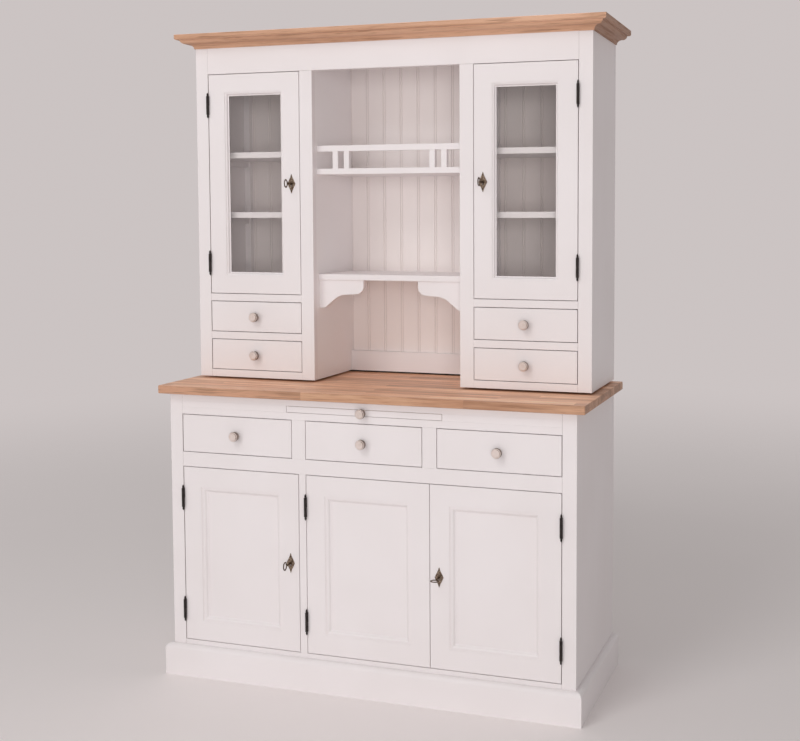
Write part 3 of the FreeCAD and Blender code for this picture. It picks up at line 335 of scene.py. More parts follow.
@dataclass(frozen=True)
class Lacquer:
    """Satin lacquer on wood, sprayed and rubbed down, with hairline joints between the boards."""

    colour: tuple[float, float, float] = (0.88, 0.827, 0.831)
    shade: tuple[float, float, float] = (0.855, 0.80, 0.80)
    # Colour of the hairline joints, and of the painted shade in grooves.
    seam_and_shade_colour: tuple[float, float, float] = (0.46, 0.405, 0.395)
    # Near-black painted shade, for spans that stand in the shadow gap under the hutch.
    gap_shade: tuple[float, float, float] = (0.02, 0.015, 0.013)
    # Share of painted shade on the groove walls.
    groove_shade_share: float = 0.3
    gloss: tuple[float, float] = (0.34, 0.46)
    along_scale: float = 3.0
    across_scale: float = 90.0
    cloud_scale: float = 3.2
    peel_scale: float = 420.0
    peel_share: float = 0.3
    relief: float = 0.12 * MM

    def tone(self, recipe: Recipe) -> Socket:
        """Cloudy tone between the two colours."""
        clouds = recipe.noise(recipe.coordinates, self.cloud_scale, 2.0)
        return recipe.blend(recipe.spread(clouds, 0.3, 0.7), self.colour, self.shade)

    def fibres(self, recipe: Recipe, grain: Grain) -> Socket:
        """Faint grain under the lacquer."""
        scale = tuple(self.along_scale if part else self.across_scale for part in grain.value)
        return recipe.noise(recipe.stretched(scale), 1.0, 4.0, 0.6)

    def satin(self, recipe: Recipe, fibres: Socket) -> Socket:
        """Roughness, which follows the grain."""
        return recipe.spread(fibres, 0.3, 0.7, *self.gloss)

    def make(
        self,
        name: str,
        grain: Grain,
        seams: Iterable[Patch] = (),
        shaded_spans: Iterable[Patch] = (),
        groove_shade_depths: tuple[float, float] | None = None,
    ) -> bpy.types.Material:
        """Makes the finish.

        Args:
            name: Name of the material.
            grain: Direction of the faint grain under the lacquer.
            seams: Joints that show on the front.
            shaded_spans: Spans painted near-black as shade instead of lacquered.
            groove_shade_depths: Y where the grooves start and end; their walls get painted shade.

        Returns:
            The material.
        """
        recipe = Recipe(name)
        fibres = self.fibres(recipe, grain)
        peel = recipe.noise(recipe.coordinates, self.peel_scale, 2.0)
        colour = self.tone(recipe)
        grainy = recipe.math("MULTIPLY", fibres, 1.0 - self.peel_share)
        height = recipe.math("ADD", grainy, recipe.math("MULTIPLY", peel, self.peel_share))
        # Seams are real dark joints; the other spans are painted shade.
        for patches, shade in ((seams, self.seam_and_shade_colour), (shaded_spans, self.gap_shade)):
            for patch in patches:
                colour = recipe.blend(patch.mask(recipe), colour, shade)
        # Painted shade: the walls of the grooves are darkened towards the joint colour.
        if groove_shade_depths:
            off = recipe.math("SUBTRACT", recipe.axes()[1], sum(groove_shade_depths) / 2)
            groove_shade = recipe.math("LESS_THAN", recipe.math("ABSOLUTE", off), (groove_shade_depths[1] - groove_shade_depths[0]) / 2)
            groove_shade = recipe.math("MULTIPLY", groove_shade, self.groove_shade_share)
            colour = recipe.blend(groove_shade, colour, self.seam_and_shade_colour)
        recipe.set(Base_Color=colour, Roughness=self.satin(recipe, fibres), IOR=1.5)
        return recipe.bump(height, self.relief, 0.5)


@dataclass(frozen=True)
class Oak:
    """Oiled oak glued up from staves, with long grain, dark pores and a soft sheen."""

    pale: tuple[float, float, float] = (0.66, 0.385, 0.245)
    deep: tuple[float, float, float] = (0.40, 0.195, 0.108)
    pore: tuple[float, float, float] = (0.22, 0.10, 0.05)
    # Painted light: tint that makes the top face paler.
    top_light_tint: tuple[float, float, float] = (1.58, 1.66, 1.76)
    end_grain_and_side_shade: float = 0.4
    stave_width: float = 46 * MM
    stave_length: float = 640 * MM
    stave_shift: float = 37.0
    stave_contrast: float = 0.42
    stave_share: float = 0.55
    glue_line: float = 0.25 * MM
    figure_scale: tuple[float, float, float] = (1.3, 26.0, 26.0)
    fleck_scale: tuple[float, float, float] = (7.0, 150.0, 150.0)
    pore_scale: tuple[float, float, float] = (14.0, 420.0, 420.0)
    fleck_share: float = 0.4
    pore_share: float = 0.55
    gloss: tuple[float, float] = (0.42, 0.62)
    skin: float = 0.5 * MM
    relief: float = 0.15 * MM

    def staves(self, recipe: Recipe, plane: Socket) -> Socket:
        """Random tone of each stave.

        Args:
            recipe: Material that gets the staves.
            plane: Coordinates along and across the staves.

        Returns:
            Colour whose brightness differs from stave to stave.
        """
        node = recipe.add("TexBrick")
        node.offset = 0.37
        node.offset_frequency = 2
        node.squash = 0.8
        node.squash_frequency = 3
        recipe.feed(node.inputs["Vector"], plane)
        recipe.feed(node.inputs["Color1"], (0.08, 0.08, 0.08))
        recipe.feed(node.inputs["Color2"], (0.92, 0.92, 0.92))
        recipe.feed(node.inputs["Mortar"], (0.0, 0.0, 0.0))
        recipe.feed(node.inputs["Scale"], 1.0)
        recipe.feed(node.inputs["Mortar Size"], self.glue_line)
        recipe.feed(node.inputs["Brick Width"], self.stave_length)
        recipe.feed(node.inputs["Row Height"], self.stave_width)
        return node.outputs["Color"]

    def make(self, name: str, half: float, top: float, front: float | None = None) -> bpy.types.Material:
        """Makes the finish, with the grain along X or, past a mitre, along Y.

        Args:
            name: Name of the material.
            half: Half width of the piece at its ends or at its mitred corners.
            top: Z of the top face, which is made paler as painted light from above.
            front: Y of the mitred corners; without it the piece is glued up from staves.

        Returns:
            The material.
        """
        recipe = Recipe(name)
        across, deep, up = recipe.axes()
        along, beside = across, deep
        out = recipe.math("SUBTRACT", recipe.math("ABSOLUTE", across), half)
        if front is None:
            side = recipe.math("GREATER_THAN", out, -self.skin)
        else:
            side = recipe.math("GREATER_THAN", recipe.math("ADD", out, deep), front)
            stay = recipe.math("SUBTRACT", 1.0, side)
            parts = []
            for first, second in ((across, deep), (deep, across)):
                kept = recipe.math("MULTIPLY", first, stay)
                parts.append(recipe.math("ADD", kept, recipe.math("MULTIPLY", second, side)))
            along, beside = parts
        join = recipe.add("CombineXYZ")
        for socket, value in zip(join.inputs, (along, beside, up)):
            recipe.feed(socket, value)
        place = join.outputs[0]
        figured = recipe.vector("MULTIPLY", place, self.figure_scale)
        if front is None:
            tone = self.staves(recipe, place)
            figured = recipe.vector("ADD", figured, recipe.math("MULTIPLY", tone, self.stave_shift))
        figure = recipe.noise(figured, 1.0, 5.0, 0.62)
        flecks, pores = (
            recipe.noise(recipe.vector("MULTIPLY", place, scale), 1.0, 2.0, 0.5)
            for scale in (self.fleck_scale, self.pore_scale)
        )
        body = recipe.blend(recipe.spread(figure, 0.34, 0.66), self.pale, self.deep)
        body = recipe.blend(recipe.spread(flecks, 0.52, 0.70, 0.0, self.fleck_share), body, self.pore)
        body = recipe.blend(recipe.spread(pores, 0.56, 0.72, 0.0, self.pore_share), body, self.pore)
        if front is None:
            light = recipe.blend(self.stave_contrast, (0.5, 0.5, 0.5), tone)
            body = recipe.blend(self.stave_share, body, light, "OVERLAY")
        # Darkens the ends: real end grain on the worktop, painted shade on the mitred sides of the
        # cornice.
        body = recipe.blend(recipe.math("MULTIPLY", side, self.end_grain_and_side_shade), body, self.pore)
        # Painted light: the top face is made paler as if lit from above.
        face = recipe.math("GREATER_THAN", up, top - self.skin)
        body = recipe.blend(face, body, self.top_light_tint, "MULTIPLY")
        ribs = recipe.math("MULTIPLY", figure, 0.4)
        height = recipe.math("SUBTRACT", ribs, recipe.spread(pores, 0.5, 0.75, 0.0, 0.6))
        recipe.set(Base_Color=body, Roughness=recipe.spread(pores, 0.4, 0.75, *self.gloss), IOR=1.48)
        return recipe.bump(height, self.relief, 0.7)


@dataclass(frozen=True)
class DrawerWood:
    """Lacquered front with a plain birch box behind it."""

    lacquer: Lacquer
    birch: tuple[float, float, float] = (0.66, 0.50, 0.34)
    birch_deep: tuple[float, float, float] = (0.56, 0.40, 0.25)
    birch_scale: tuple[float, float, float] = (40.0, 2.5, 60.0)
    birch_dulling: float = 0.18
    relief: float = 0.1 * MM

    def make(self, name: str, front_back: float) -> bpy.types.Material:
        """Makes the finish.

        Args:
            name: Name of the material.
            front_back: Y of the back of the drawer's front.

        Returns:
            The material.
        """
        recipe = Recipe(name)
        inside = recipe.math("GREATER_THAN", recipe.axes()[1], front_back)
        fibres = recipe.noise(recipe.stretched(self.birch_scale), 1.0, 4.0, 0.6)
        wood = recipe.blend(recipe.spread(fibres, 0.35, 0.65), self.birch, self.birch_deep)
        grain = self.lacquer.fibres(recipe, Grain.ACROSS)
        satin = self.lacquer.satin(recipe, grain)
        rough = recipe.math("ADD", satin, recipe.math("MULTIPLY", inside, self.birch_dulling))
        recipe.set(Base_Color=recipe.blend(inside, self.lacquer.tone(recipe), wood), Roughness=rough)
        return recipe.bump(grain, self.relief, 0.5)


@dataclass(frozen=True)
class Metal:
    """A metal whose colour wanders between two tones, with fine marks in its surface."""

    colour: tuple[float, float, float]
    tarnish: tuple[float, float, float]
    rough_low: float
    rough_high: float
    metallic: float = 1.0
    patch: float = 90.0
    marks: float = 9.0
    relief: float = 0.05 * MM

    def make(self, name: str) -> bpy.types.Material:
        """Makes the finish.

        Args:
            name: Name of the material.

        Returns:
            The material.
        """
        recipe = Recipe(name)
        patches = recipe.noise(recipe.coordinates, self.patch, 4.0, 0.6)
        marks = recipe.noise(recipe.coordinates, self.patch * self.marks, 2.0)
        share = recipe.spread(patches, 0.38, 0.62)
        recipe.set(Base_Color=recipe.blend(share, self.colour, self.tarnish), Metallic=self.metallic)
        recipe.set(Roughness=recipe.spread(patches, 0.3, 0.7, self.rough_low, self.rough_high))
        return recipe.bump(marks, self.relief, 0.6)


@dataclass(frozen=True)
class Pane:
    """Clear float glass that lets lamps light what is behind it."""

    tint: tuple[float, float, float] = (0.985, 0.98, 0.975)
    smear_scale: float = 7.0
    smear: float = 0.02

    def make(self, name: str) -> bpy.types.Material:
        """Makes the finish.

        Args:
            name: Name of the material.

        Returns:
            The material.
        """
        recipe = Recipe(name)
        smears = recipe.noise(recipe.coordinates, self.smear_scale)
        recipe.set(Base_Color=self.tint, Transmission_Weight=1.0, IOR=1.45)
        recipe.set(Roughness=recipe.spread(smears, 0.4, 0.8, 0.0, self.smear))
        clear = recipe.add("BsdfTransparent")
        recipe.feed(clear.inputs[0], self.tint)
        shadow = recipe.add("LightPath").outputs["Is Shadow Ray"]
        glass = recipe.choose(shadow, recipe.shader.outputs[0], clear.outputs[0])
        recipe.feed(recipe.output.inputs[0], glass)
        return recipe.material


WHITE = Lacquer()
# A warmer, lighter copy of the white lacquer: painted warm bounce light on the boarded backs.
BOUNCE_WARMED_WHITE = Lacquer(colour=(0.93, 0.86, 0.84), shade=(0.91, 0.83, 0.805))
# A lighter copy of the white lacquer: painted light on the niche walls and partitions of the hutch.
PAINTED_LIGHT_WHITE = Lacquer(colour=(0.93, 0.885, 0.885), shade=(0.91, 0.86, 0.86))
OILED_OAK = Oak(end_grain_and_side_shade=0.2)
# On the cornice the darkened mitred sides are painted shade.
MOULDED_OAK = Oak(pale=(0.74, 0.44, 0.29), deep=(0.54, 0.29, 0.175), end_grain_and_side_shade=0.66)
BLACK_IRON = Metal((0.030, 0.025, 0.024), (0.055, 0.045, 0.042), 0.42, 0.6, metallic=0.75)
OLD_BRASS = Metal((0.42, 0.335, 0.255), (0.18, 0.125, 0.09), 0.38, 0.6, patch=170.0)
KEY_BRASS = Metal((0.17, 0.125, 0.085), (0.08, 0.052, 0.035), 0.36, 0.55, patch=200.0)
NICKEL = Metal((0.92, 0.81, 0.76), (0.82, 0.71, 0.65), 0.3, 0.42, 0.65, 60.0, relief=0.02 * MM)
# Darker copy of the nickel: painted shade and reflection on the knobs' sides.
SHADED_NICKEL = Metal((0.34, 0.28, 0.245), (0.23, 0.185, 0.16), 0.4, 0.6, 0.9, 60.0, relief=0.02 * MM)
NAIL_IRON = Metal((0.035, 0.025, 0.020), (0.075, 0.05, 0.035), 0.5, 0.7, metallic=0.6, patch=300.0)
LOCK_STEEL = Metal((0.55, 0.55, 0.56), (0.42, 0.42, 0.43), 0.3, 0.45)


def spun(mesh: bmesh.types.BMesh, axis: tuple[float, float, float], steps: int) -> None:
    """Spins an outline once round the origin into a closed mesh whose faces point outwards.

    Args:
        mesh: Mesh that holds the outline.
        axis: Direction of the axis.
        steps: Number of faces round the piece.
    """
    bmesh.ops.spin(
        mesh,
        geom=mesh.verts[:] + mesh.edges[:],
        cent=(0.0, 0.0, 0.0),
        axis=axis,
        angle=math.tau,
        steps=steps,
        use_merge=True,
    )
    bmesh.ops.remove_doubles(mesh, verts=mesh.verts, dist=MERGE)
    bmesh.ops.recalc_face_normals(mesh, faces=mesh.faces)


def eased(mesh: bmesh.types.BMesh, edges: Sequence[bmesh.types.BMEdge], width: float) -> None:
    """Eases edges of a mesh.

    Args:
        mesh: Mesh that is shaped.
        edges: Edges to ease.
        width: Width of the eased edges, in millimetres.
    """
    bmesh.ops.bevel(
        mesh,
        geom=edges,
        offset=width * MM,
        offset_type="OFFSET",
        segments=2,
        profile=0.5,
        affect="EDGES",
        material=-1,
    )


def turned(profile: Profile, steps: int) -> bmesh.types.BMesh:
    """Turns a profile about the Z axis.

    Args:
        profile: Radius and height of each point, in millimetres.
        steps: Number of faces round the piece.

    Returns:
        A closed mesh whose faces point outwards.
    """
    mesh = bmesh.new()
    points = [mesh.verts.new((radius * MM, 0.0, height * MM)) for radius, height in profile]
    for pair in zip(points, points[1:]):
        mesh.edges.new(pair)
    spun(mesh, (0.0, 0.0, 1.0), steps)
    return mesh


def arc(centre: tuple[float, float], radius: float, start: float, end: float, count: int) -> Profile:
    """Points of an arc in a profile.

    Args:
        centre: Radius and height of the arc's centre, in millimetres.
        radius: Radius of the arc, in millimetres.
        start: First angle in degrees, from the outward direction.
        end: Last angle in degrees.
        count: Number of points.

    Returns:
        The points, first to last.
    """
    turns = [math.radians(start + (end - start) * index / (count - 1)) for index in range(count)]
    return [(centre[0] + radius * math.cos(turn), centre[1] + radius * math.sin(turn)) for turn in turns]


def block(low: Sequence[float], high: Sequence[float], ease: float) -> bmesh.types.BMesh:
    """A block between two corners, with its edges eased.

    Args:
        low: Lowest corner, in millimetres.
        high: Highest corner, in millimetres.
        ease: Width of the eased edges, in millimetres.

    Returns:
        The mesh.
    """
    mesh = bmesh.new()
    bmesh.ops.create_cube(mesh, size=1.0)
    size = Vector(high) * MM - Vector(low) * MM
    middle = (Vector(high) + Vector(low)) / 2 * MM
    bmesh.ops.scale(mesh, vec=size, verts=mesh.verts)
    bmesh.ops.translate(mesh, vec=middle, verts=mesh.verts)
    if ease:
        eased(mesh, mesh.edges[:], ease)
    return mesh


def added(whole: bmesh.types.BMesh, part: bmesh.types.BMesh, place: Matrix) -> None:
    """Moves a part to its place and adds it to a whole.

    Args:
        whole: Mesh that grows.
        part: Mesh that is used up.
        place: Where the part goes.
    """
    bmesh.ops.transform(part, matrix=place, verts=part.verts)
    carrier = bpy.data.meshes.new("carrier")
    part.to_mesh(carrier)
    part.free()
    whole.from_mesh(carrier)
    bpy.data.meshes.remove(carrier)


def finished(
    name: str,
    mesh: bmesh.types.BMesh,
    materials: Iterable[bpy.types.Material],
    body: str,
    replaced: Sequence[str],
) -> None:
    """Makes a mesh a piece that rides on a body.

    Args:
        name: Name of the piece.
        mesh: Mesh in the row frame, which is used up.
        materials: Finishes of the piece, the first for most of it.
        body: CAD body that it moves with.
        replaced: CAD nodes that it stands for.
    """
    data = bpy.data.meshes.new(name)
    mesh.to_mesh(data)
    mesh.free()
    for material in materials:
        data.materials.append(material)
    data.shade_smooth()
    data.set_sharp_from_angle(angle=CREASE)
    piece = bpy.data.objects.new(name, data)
    bpy.context.scene.collection.objects.link(piece)
    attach(piece, body)
    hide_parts(*replaced)
    LOG.info("%s rides on %s, %d faces", name, body, len(data.polygons))


TOWARDS_FRONT = Matrix.Rotation(math.radians(90), 4, "X")


@dataclass
class Knobs:
    """Turned metal knobs with their screws."""

    reach: float = 25.0
    collar_radius: float = 8.5
    collar_length: float = 2.5
    neck_radius: float = 5.5
    neck_end: float = 8.5
    rim_start: float = 11.5
    rim_end: float = 22.0
    radius: float = 14.5
    face_radius: float = 12.0
    round: float = 1.5
    chamfer: float = 0.8
    fillet: float = 0.6
    flare: tuple[float, float] = (1.4, 1.2)
    shoulder: tuple[float, float] = (2.2, 0.7)
    groove: Profile = ((0.5, 0.0), (0.1, -0.5), (-0.3, 0.0))
    crown: float = 1.2
    crown_inset: float = 1.5
    dish: tuple[float, float] = (0.25, 0.4)
    screw_radius: float = 2.0
    screw_bite: float = 3.0
    screw_head_radius: float = 4.0
    screw_head: float = 2.5
    facing: float = 0.6
    steps: int = 48
    screw_steps: int = 24

    def profile(self) -> Profile:
        """Outline of the knob from its collar to the middle of its face."""
        collar, top, cut = self.collar_radius, self.collar_length, self.chamfer
        neck, face, edge = self.neck_radius, self.face_radius, self.round
        points = [(0.0, 0.0), (collar, 0.0), (collar, top - cut), (collar - cut, top)]
        points += [(neck + self.fillet, top), (neck, top + cut), (neck, self.neck_end - self.flare[1])]
        points += [(neck + self.flare[0], self.neck_end)]
        points += [(self.radius - self.shoulder[0], self.rim_start - self.shoulder[1])]
        points += arc((self.radius - edge, self.rim_start + 0.4), edge, -60, 0, 4)
        points += arc((self.radius - edge, self.rim_end - edge), edge, 0, 90, 5)
        points += [(face + out, self.rim_end + up) for out, up in self.groove]
        points += arc((face - self.crown_inset, self.reach - self.crown), self.crown, 0, 90, 4)
        points += [(face / 2, self.reach - self.dish[0]), (0.0, self.reach - self.dish[1])]
        return points

    def build(self, finishes: Sequence[bpy.types.Material]) -> None:
        """Builds every knob where its CAD node is.

        Args:
            finishes: Metal of the faces, and a darker copy of it on the sides as painted shade and
                reflection.
        """
        for name in sorted(NODES):
            if not name.endswith("_knob"):
                continue
            low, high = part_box(name)
            front = low.y / MM + self.reach
            middle = (low + high) / 2
            place = Matrix.Translation((middle.x, front * MM, middle.z)) @ TOWARDS_FRONT
            whole = bmesh.new()
            added(whole, turned(self.profile(), self.steps), place)
            end = front - high.y / MM
            foot = [(self.screw_radius, end)]
            if name != "pull_out_knob":
                seat, head = end + self.screw_head, self.screw_head_radius
                foot = [(head - self.chamfer, end), (head, seat - 1.0), (head, seat)]
                foot.append((self.screw_radius, seat))
            shank = [(0.0, end), *foot, (self.screw_radius, self.screw_bite), (0.0, self.screw_bite)]
            added(whole, turned(shank, self.screw_steps), place)
            whole.normal_update()
            for face in whole.faces:
                # Front faces take the bright nickel; the sides take the darker copy as painted shade and
                # reflection.
                face.material_index = 0 if face.normal.y < -self.facing else 1
            finished(name + "_turned", whole, finishes, NODES[name]["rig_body"], [name])


@dataclass
class Hinges:
    """Two-part pin hinges with pointed finials."""

    length: float = 80.0
    finial: float = 11.0
    radius: float = 4.5
    axis_offset: float = 5.3
    pin_radius: float = 2.0
    bore_radius: float = 2.05
    cap: float = 5.0
    gap: float = 0.3
    reveal: float = 2.0
    leaf: float = 2.0
    leaf_depth: float = 18.0
    ease: float = 0.4
    leaf_ease: float = 0.3
    finial_shares: Profile = (
        (0.56, 0.06), (0.54, 0.18), (0.68, 0.3), (0.66, 0.5), (0.48, 0.75), (0.24, 0.94)
    )
    steps: int = 32

    def profile(self, upper: bool) -> Profile:
        """Outline of one half from the pin to the tip of the finial.

        Args:
            upper: Whether it is the half with the bore.

        Returns:
            Radius and height of each point above the hinge's middle.
        """
        start, end = self.gap / 2, self.length / 2 - self.finial
        rim, ease = self.radius, self.ease
        inner, far = self.pin_radius, start - end + self.cap
        if upper:
            inner, far = self.bore_radius, end - self.cap
        points = [(0.0, far), (inner, far), (inner, start)]
        points += [(rim - ease, start), (rim, start + ease), (rim, end - ease), (rim - ease, end)]
        points += [(rim * radius, end + self.finial * share) for radius, share in self.finial_shares]
        return points + [(0.0, self.length / 2)]

    def half(self, upper: bool, way: int, face_offset: float) -> bmesh.types.BMesh:
        """One half of a hinge about its own middle.

        Args:
            upper: Whether it is the half that moves with the door.
            way: 1 where its leaf lies towards +X of the pin, or -1.
            face_offset: Distance from the pin back to the face of the wood, in millimetres.

        Returns:
            The mesh.
        """
        whole = bmesh.new()
        knuckle = turned(self.profile(upper), self.steps)
        turn = Matrix.Identity(4) if upper else Matrix.Scale(-1, 4, (0.0, 0.0, 1.0))
        added(whole, knuckle, turn)
        near = self.reveal / 2
        across = sorted((way * near, way * (near + self.leaf)))
        end = self.length / 2 - self.finial
        high = (self.gap / 2, end) if upper else (-end, -self.gap / 2)
        low_corner = (across[0], self.bore_radius, high[0])
        high_corner = (across[1], face_offset + self.leaf_depth, high[1])
        added(whole, block(low_corner, high_corner, self.leaf_ease), Matrix.Identity(4))
        bmesh.ops.recalc_face_normals(whole, faces=whole.faces)
        return whole

    def build(self, finish: bpy.types.Material) -> None:
        """Builds the hinges of every door.

        Args:
            finish: Metal of the hinges.
        """
        fixed = bmesh.new()
        offset = self.axis_offset
        for name in sorted(("base_middle", *LOCKED_DOORS)):
            pin = JOINTS[name + "_door_swing"]
            way = -int(pin["axis"][2])
            low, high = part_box(name + "_hinges")
            heights = (low.z / MM - self.gap / 2, high.z / MM - self.length / 2)
            moving = bmesh.new()
            for height in heights:
                place = Matrix.Translation((pin["pos_m"][0], pin["pos_m"][1], height * MM))
                added(moving, self.half(True, way, offset), place)
                added(fixed, self.half(False, -way, offset), place)
            finished(name + "_door_hinges", moving, [finish], name + "_door", [name + "_hinges"])
        finished("face_frame_hinges", fixed, [finish], "root", ["frame_hinges"])


@dataclass
class Locks:
    """Mortised lock cases with nailed, lozenge-shaped escutcheons."""

    case_width: float = 44.0
    case_height: float = 46.0
    case_depth: float = 5.0
    case_thickness: float = 10.0
    wall: float = 1.5
    backset: float = 28.0
    bolt_height: float = 12.0
    play: float = 0.4
    plate_width: float = 27.0
    plate_height: float = 60.0
    plate: float = 1.5
    plate_ease: float = 0.4
    plate_shares: Profile = ((1.0, 0.0), (0.62, 0.36), (0.24, 0.70), (0.08, 0.93), (0.0, 1.0))
    hole_radius: float = 2.9
    slot_half: float = 1.7
    slot_drop: float = 9.0
    nail_radius: float = 1.9
    nail_share: float = 0.72
    nail_dome: float = 0.5
    near: float = 0.01
    hole_steps: int = 14

    def escutcheon(self) -> bmesh.types.BMesh:
        """Plate about the key's axis, its back on the wood and its front towards +Z."""
        half = self.plate_width / 2
        tall = self.plate_height / 2
        rim = [(half * x, tall * y) for x, y in self.plate_shares]
        rim += [(-x, y) for x, y in reversed(rim[:-1])]
        rim += [(-x, -y) for x, y in rim[1:-1]]
        start = -90 + math.degrees(math.asin(self.slot_half / self.hole_radius))
        hole = list(arc((0.0, 0.0), self.hole_radius, start, 180 - start, self.hole_steps))
        hole += [(-self.slot_half, -self.slot_drop), (self.slot_half, -self.slot_drop)]
        mesh = bmesh.new()
        for loop in (rim, hole):
            points = [mesh.verts.new((x * MM, y * MM, 0.0)) for x, y in loop]
            for first, second in zip(points, points[1:] + points[:1]):
                mesh.edges.new((first, second))
        bmesh.ops.triangle_fill(mesh, use_beauty=True, use_dissolve=False, edges=mesh.edges[:])
        grown = bmesh.ops.extrude_face_region(mesh, geom=mesh.faces[:])["geom"]
        front = [item for item in grown if isinstance(item, bmesh.types.BMVert)]
        bmesh.ops.translate(mesh, vec=(0.0, 0.0, self.plate * MM), verts=front)
        bmesh.ops.recalc_face_normals(mesh, faces=mesh.faces)
        chosen = set(front)
        rims = (edge for edge in mesh.edges if set(edge.verts) <= chosen)
        edges = [edge for edge in rims if edge.calc_face_angle(0.0) > CREASE]
        eased(mesh, edges, self.plate_ease)
        return mesh

    def nail(self) -> bmesh.types.BMesh:
        """Domed head of a nail on the plate."""
        mesh = bmesh.new()
        bmesh.ops.create_uvsphere(mesh, u_segments=16, v_segments=8, radius=self.nail_radius * MM)
        bmesh.ops.scale(mesh, vec=(1.0, 1.0, self.nail_dome), verts=mesh.verts)
        for face in mesh.faces:
            face.material_index = 1
        return mesh

    def case(self, way: int) -> bmesh.types.BMesh:
        """Hollow case about the key's axis, with holes for the bolt and the key.

        Args:
            way: 1 where the bolt shoots towards +X, or -1.

        Returns:
            The mesh in the row frame's directions.
        """
        edge = way * self.backset
        far = edge - way * self.case_width
        across = sorted((edge, far))
        tall = self.case_height / 2
        rear = self.case_depth + self.case_thickness
        mesh = block((across[0], self.case_depth, -tall), (across[1], rear, tall), 0.0)
        top = tall - self.wall
        bottom = top - self.bolt_height - 2 * self.play
        front = self.case_depth + self.wall
        back = rear - self.wall
        planes = [(bottom, 2), (top, 2), (front, 1), (back, 1), (-self.slot_half, 0), (self.slot_half, 0)]
        planes += [(-self.slot_drop, 2), (self.hole_radius, 2)]
        for distance, axis in planes:
            normal = Matrix.Identity(3)[axis]
            everything = mesh.verts[:] + mesh.edges[:] + mesh.faces[:]
            bmesh.ops.bisect_plane(mesh, geom=everything, plane_co=normal * distance * MM, plane_no=normal)
        gone = []
        for face in mesh.faces:
            x, y, z = face.calc_center_median() / MM
            at_edge = abs(x - edge) < self.near and front < y < back and bottom < z < top
            at_key = abs(y - self.case_depth) < self.near and abs(x) < self.slot_half
            if at_edge or (at_key and -self.slot_drop < z < self.hole_radius):
                gone.append(face)
        bmesh.ops.delete(mesh, geom=gone, context="FACES")
        bmesh.ops.solidify(mesh, geom=mesh.faces[:], thickness=self.wall * MM)
        return mesh

    def build(self, finishes: Sequence[bpy.types.Material]) -> None:
        """Builds the locks of the four doors that have one.

        Args:
            finishes: Metal of plates and cases, and metal of the nails.
        """
        for name in LOCKED_DOORS:
            joint = JOINTS[name + "_key_turn"]
            way = int(joint["axis"][1])
            centre = Matrix.Translation(joint["pos_m"])
            whole = bmesh.new()
            added(whole, self.escutcheon(), centre @ TOWARDS_FRONT)
            for side in (1, -1):
                up = side * self.nail_share * self.plate_height / 2
                spot = Matrix.Translation((0.0, up * MM, self.plate * MM))
                added(whole, self.nail(), centre @ TOWARDS_FRONT @ spot)
            added(whole, self.case(way), centre)
            finished(name + "_nailed_lock", whole, finishes, name + "_door", [name + "_lock"])


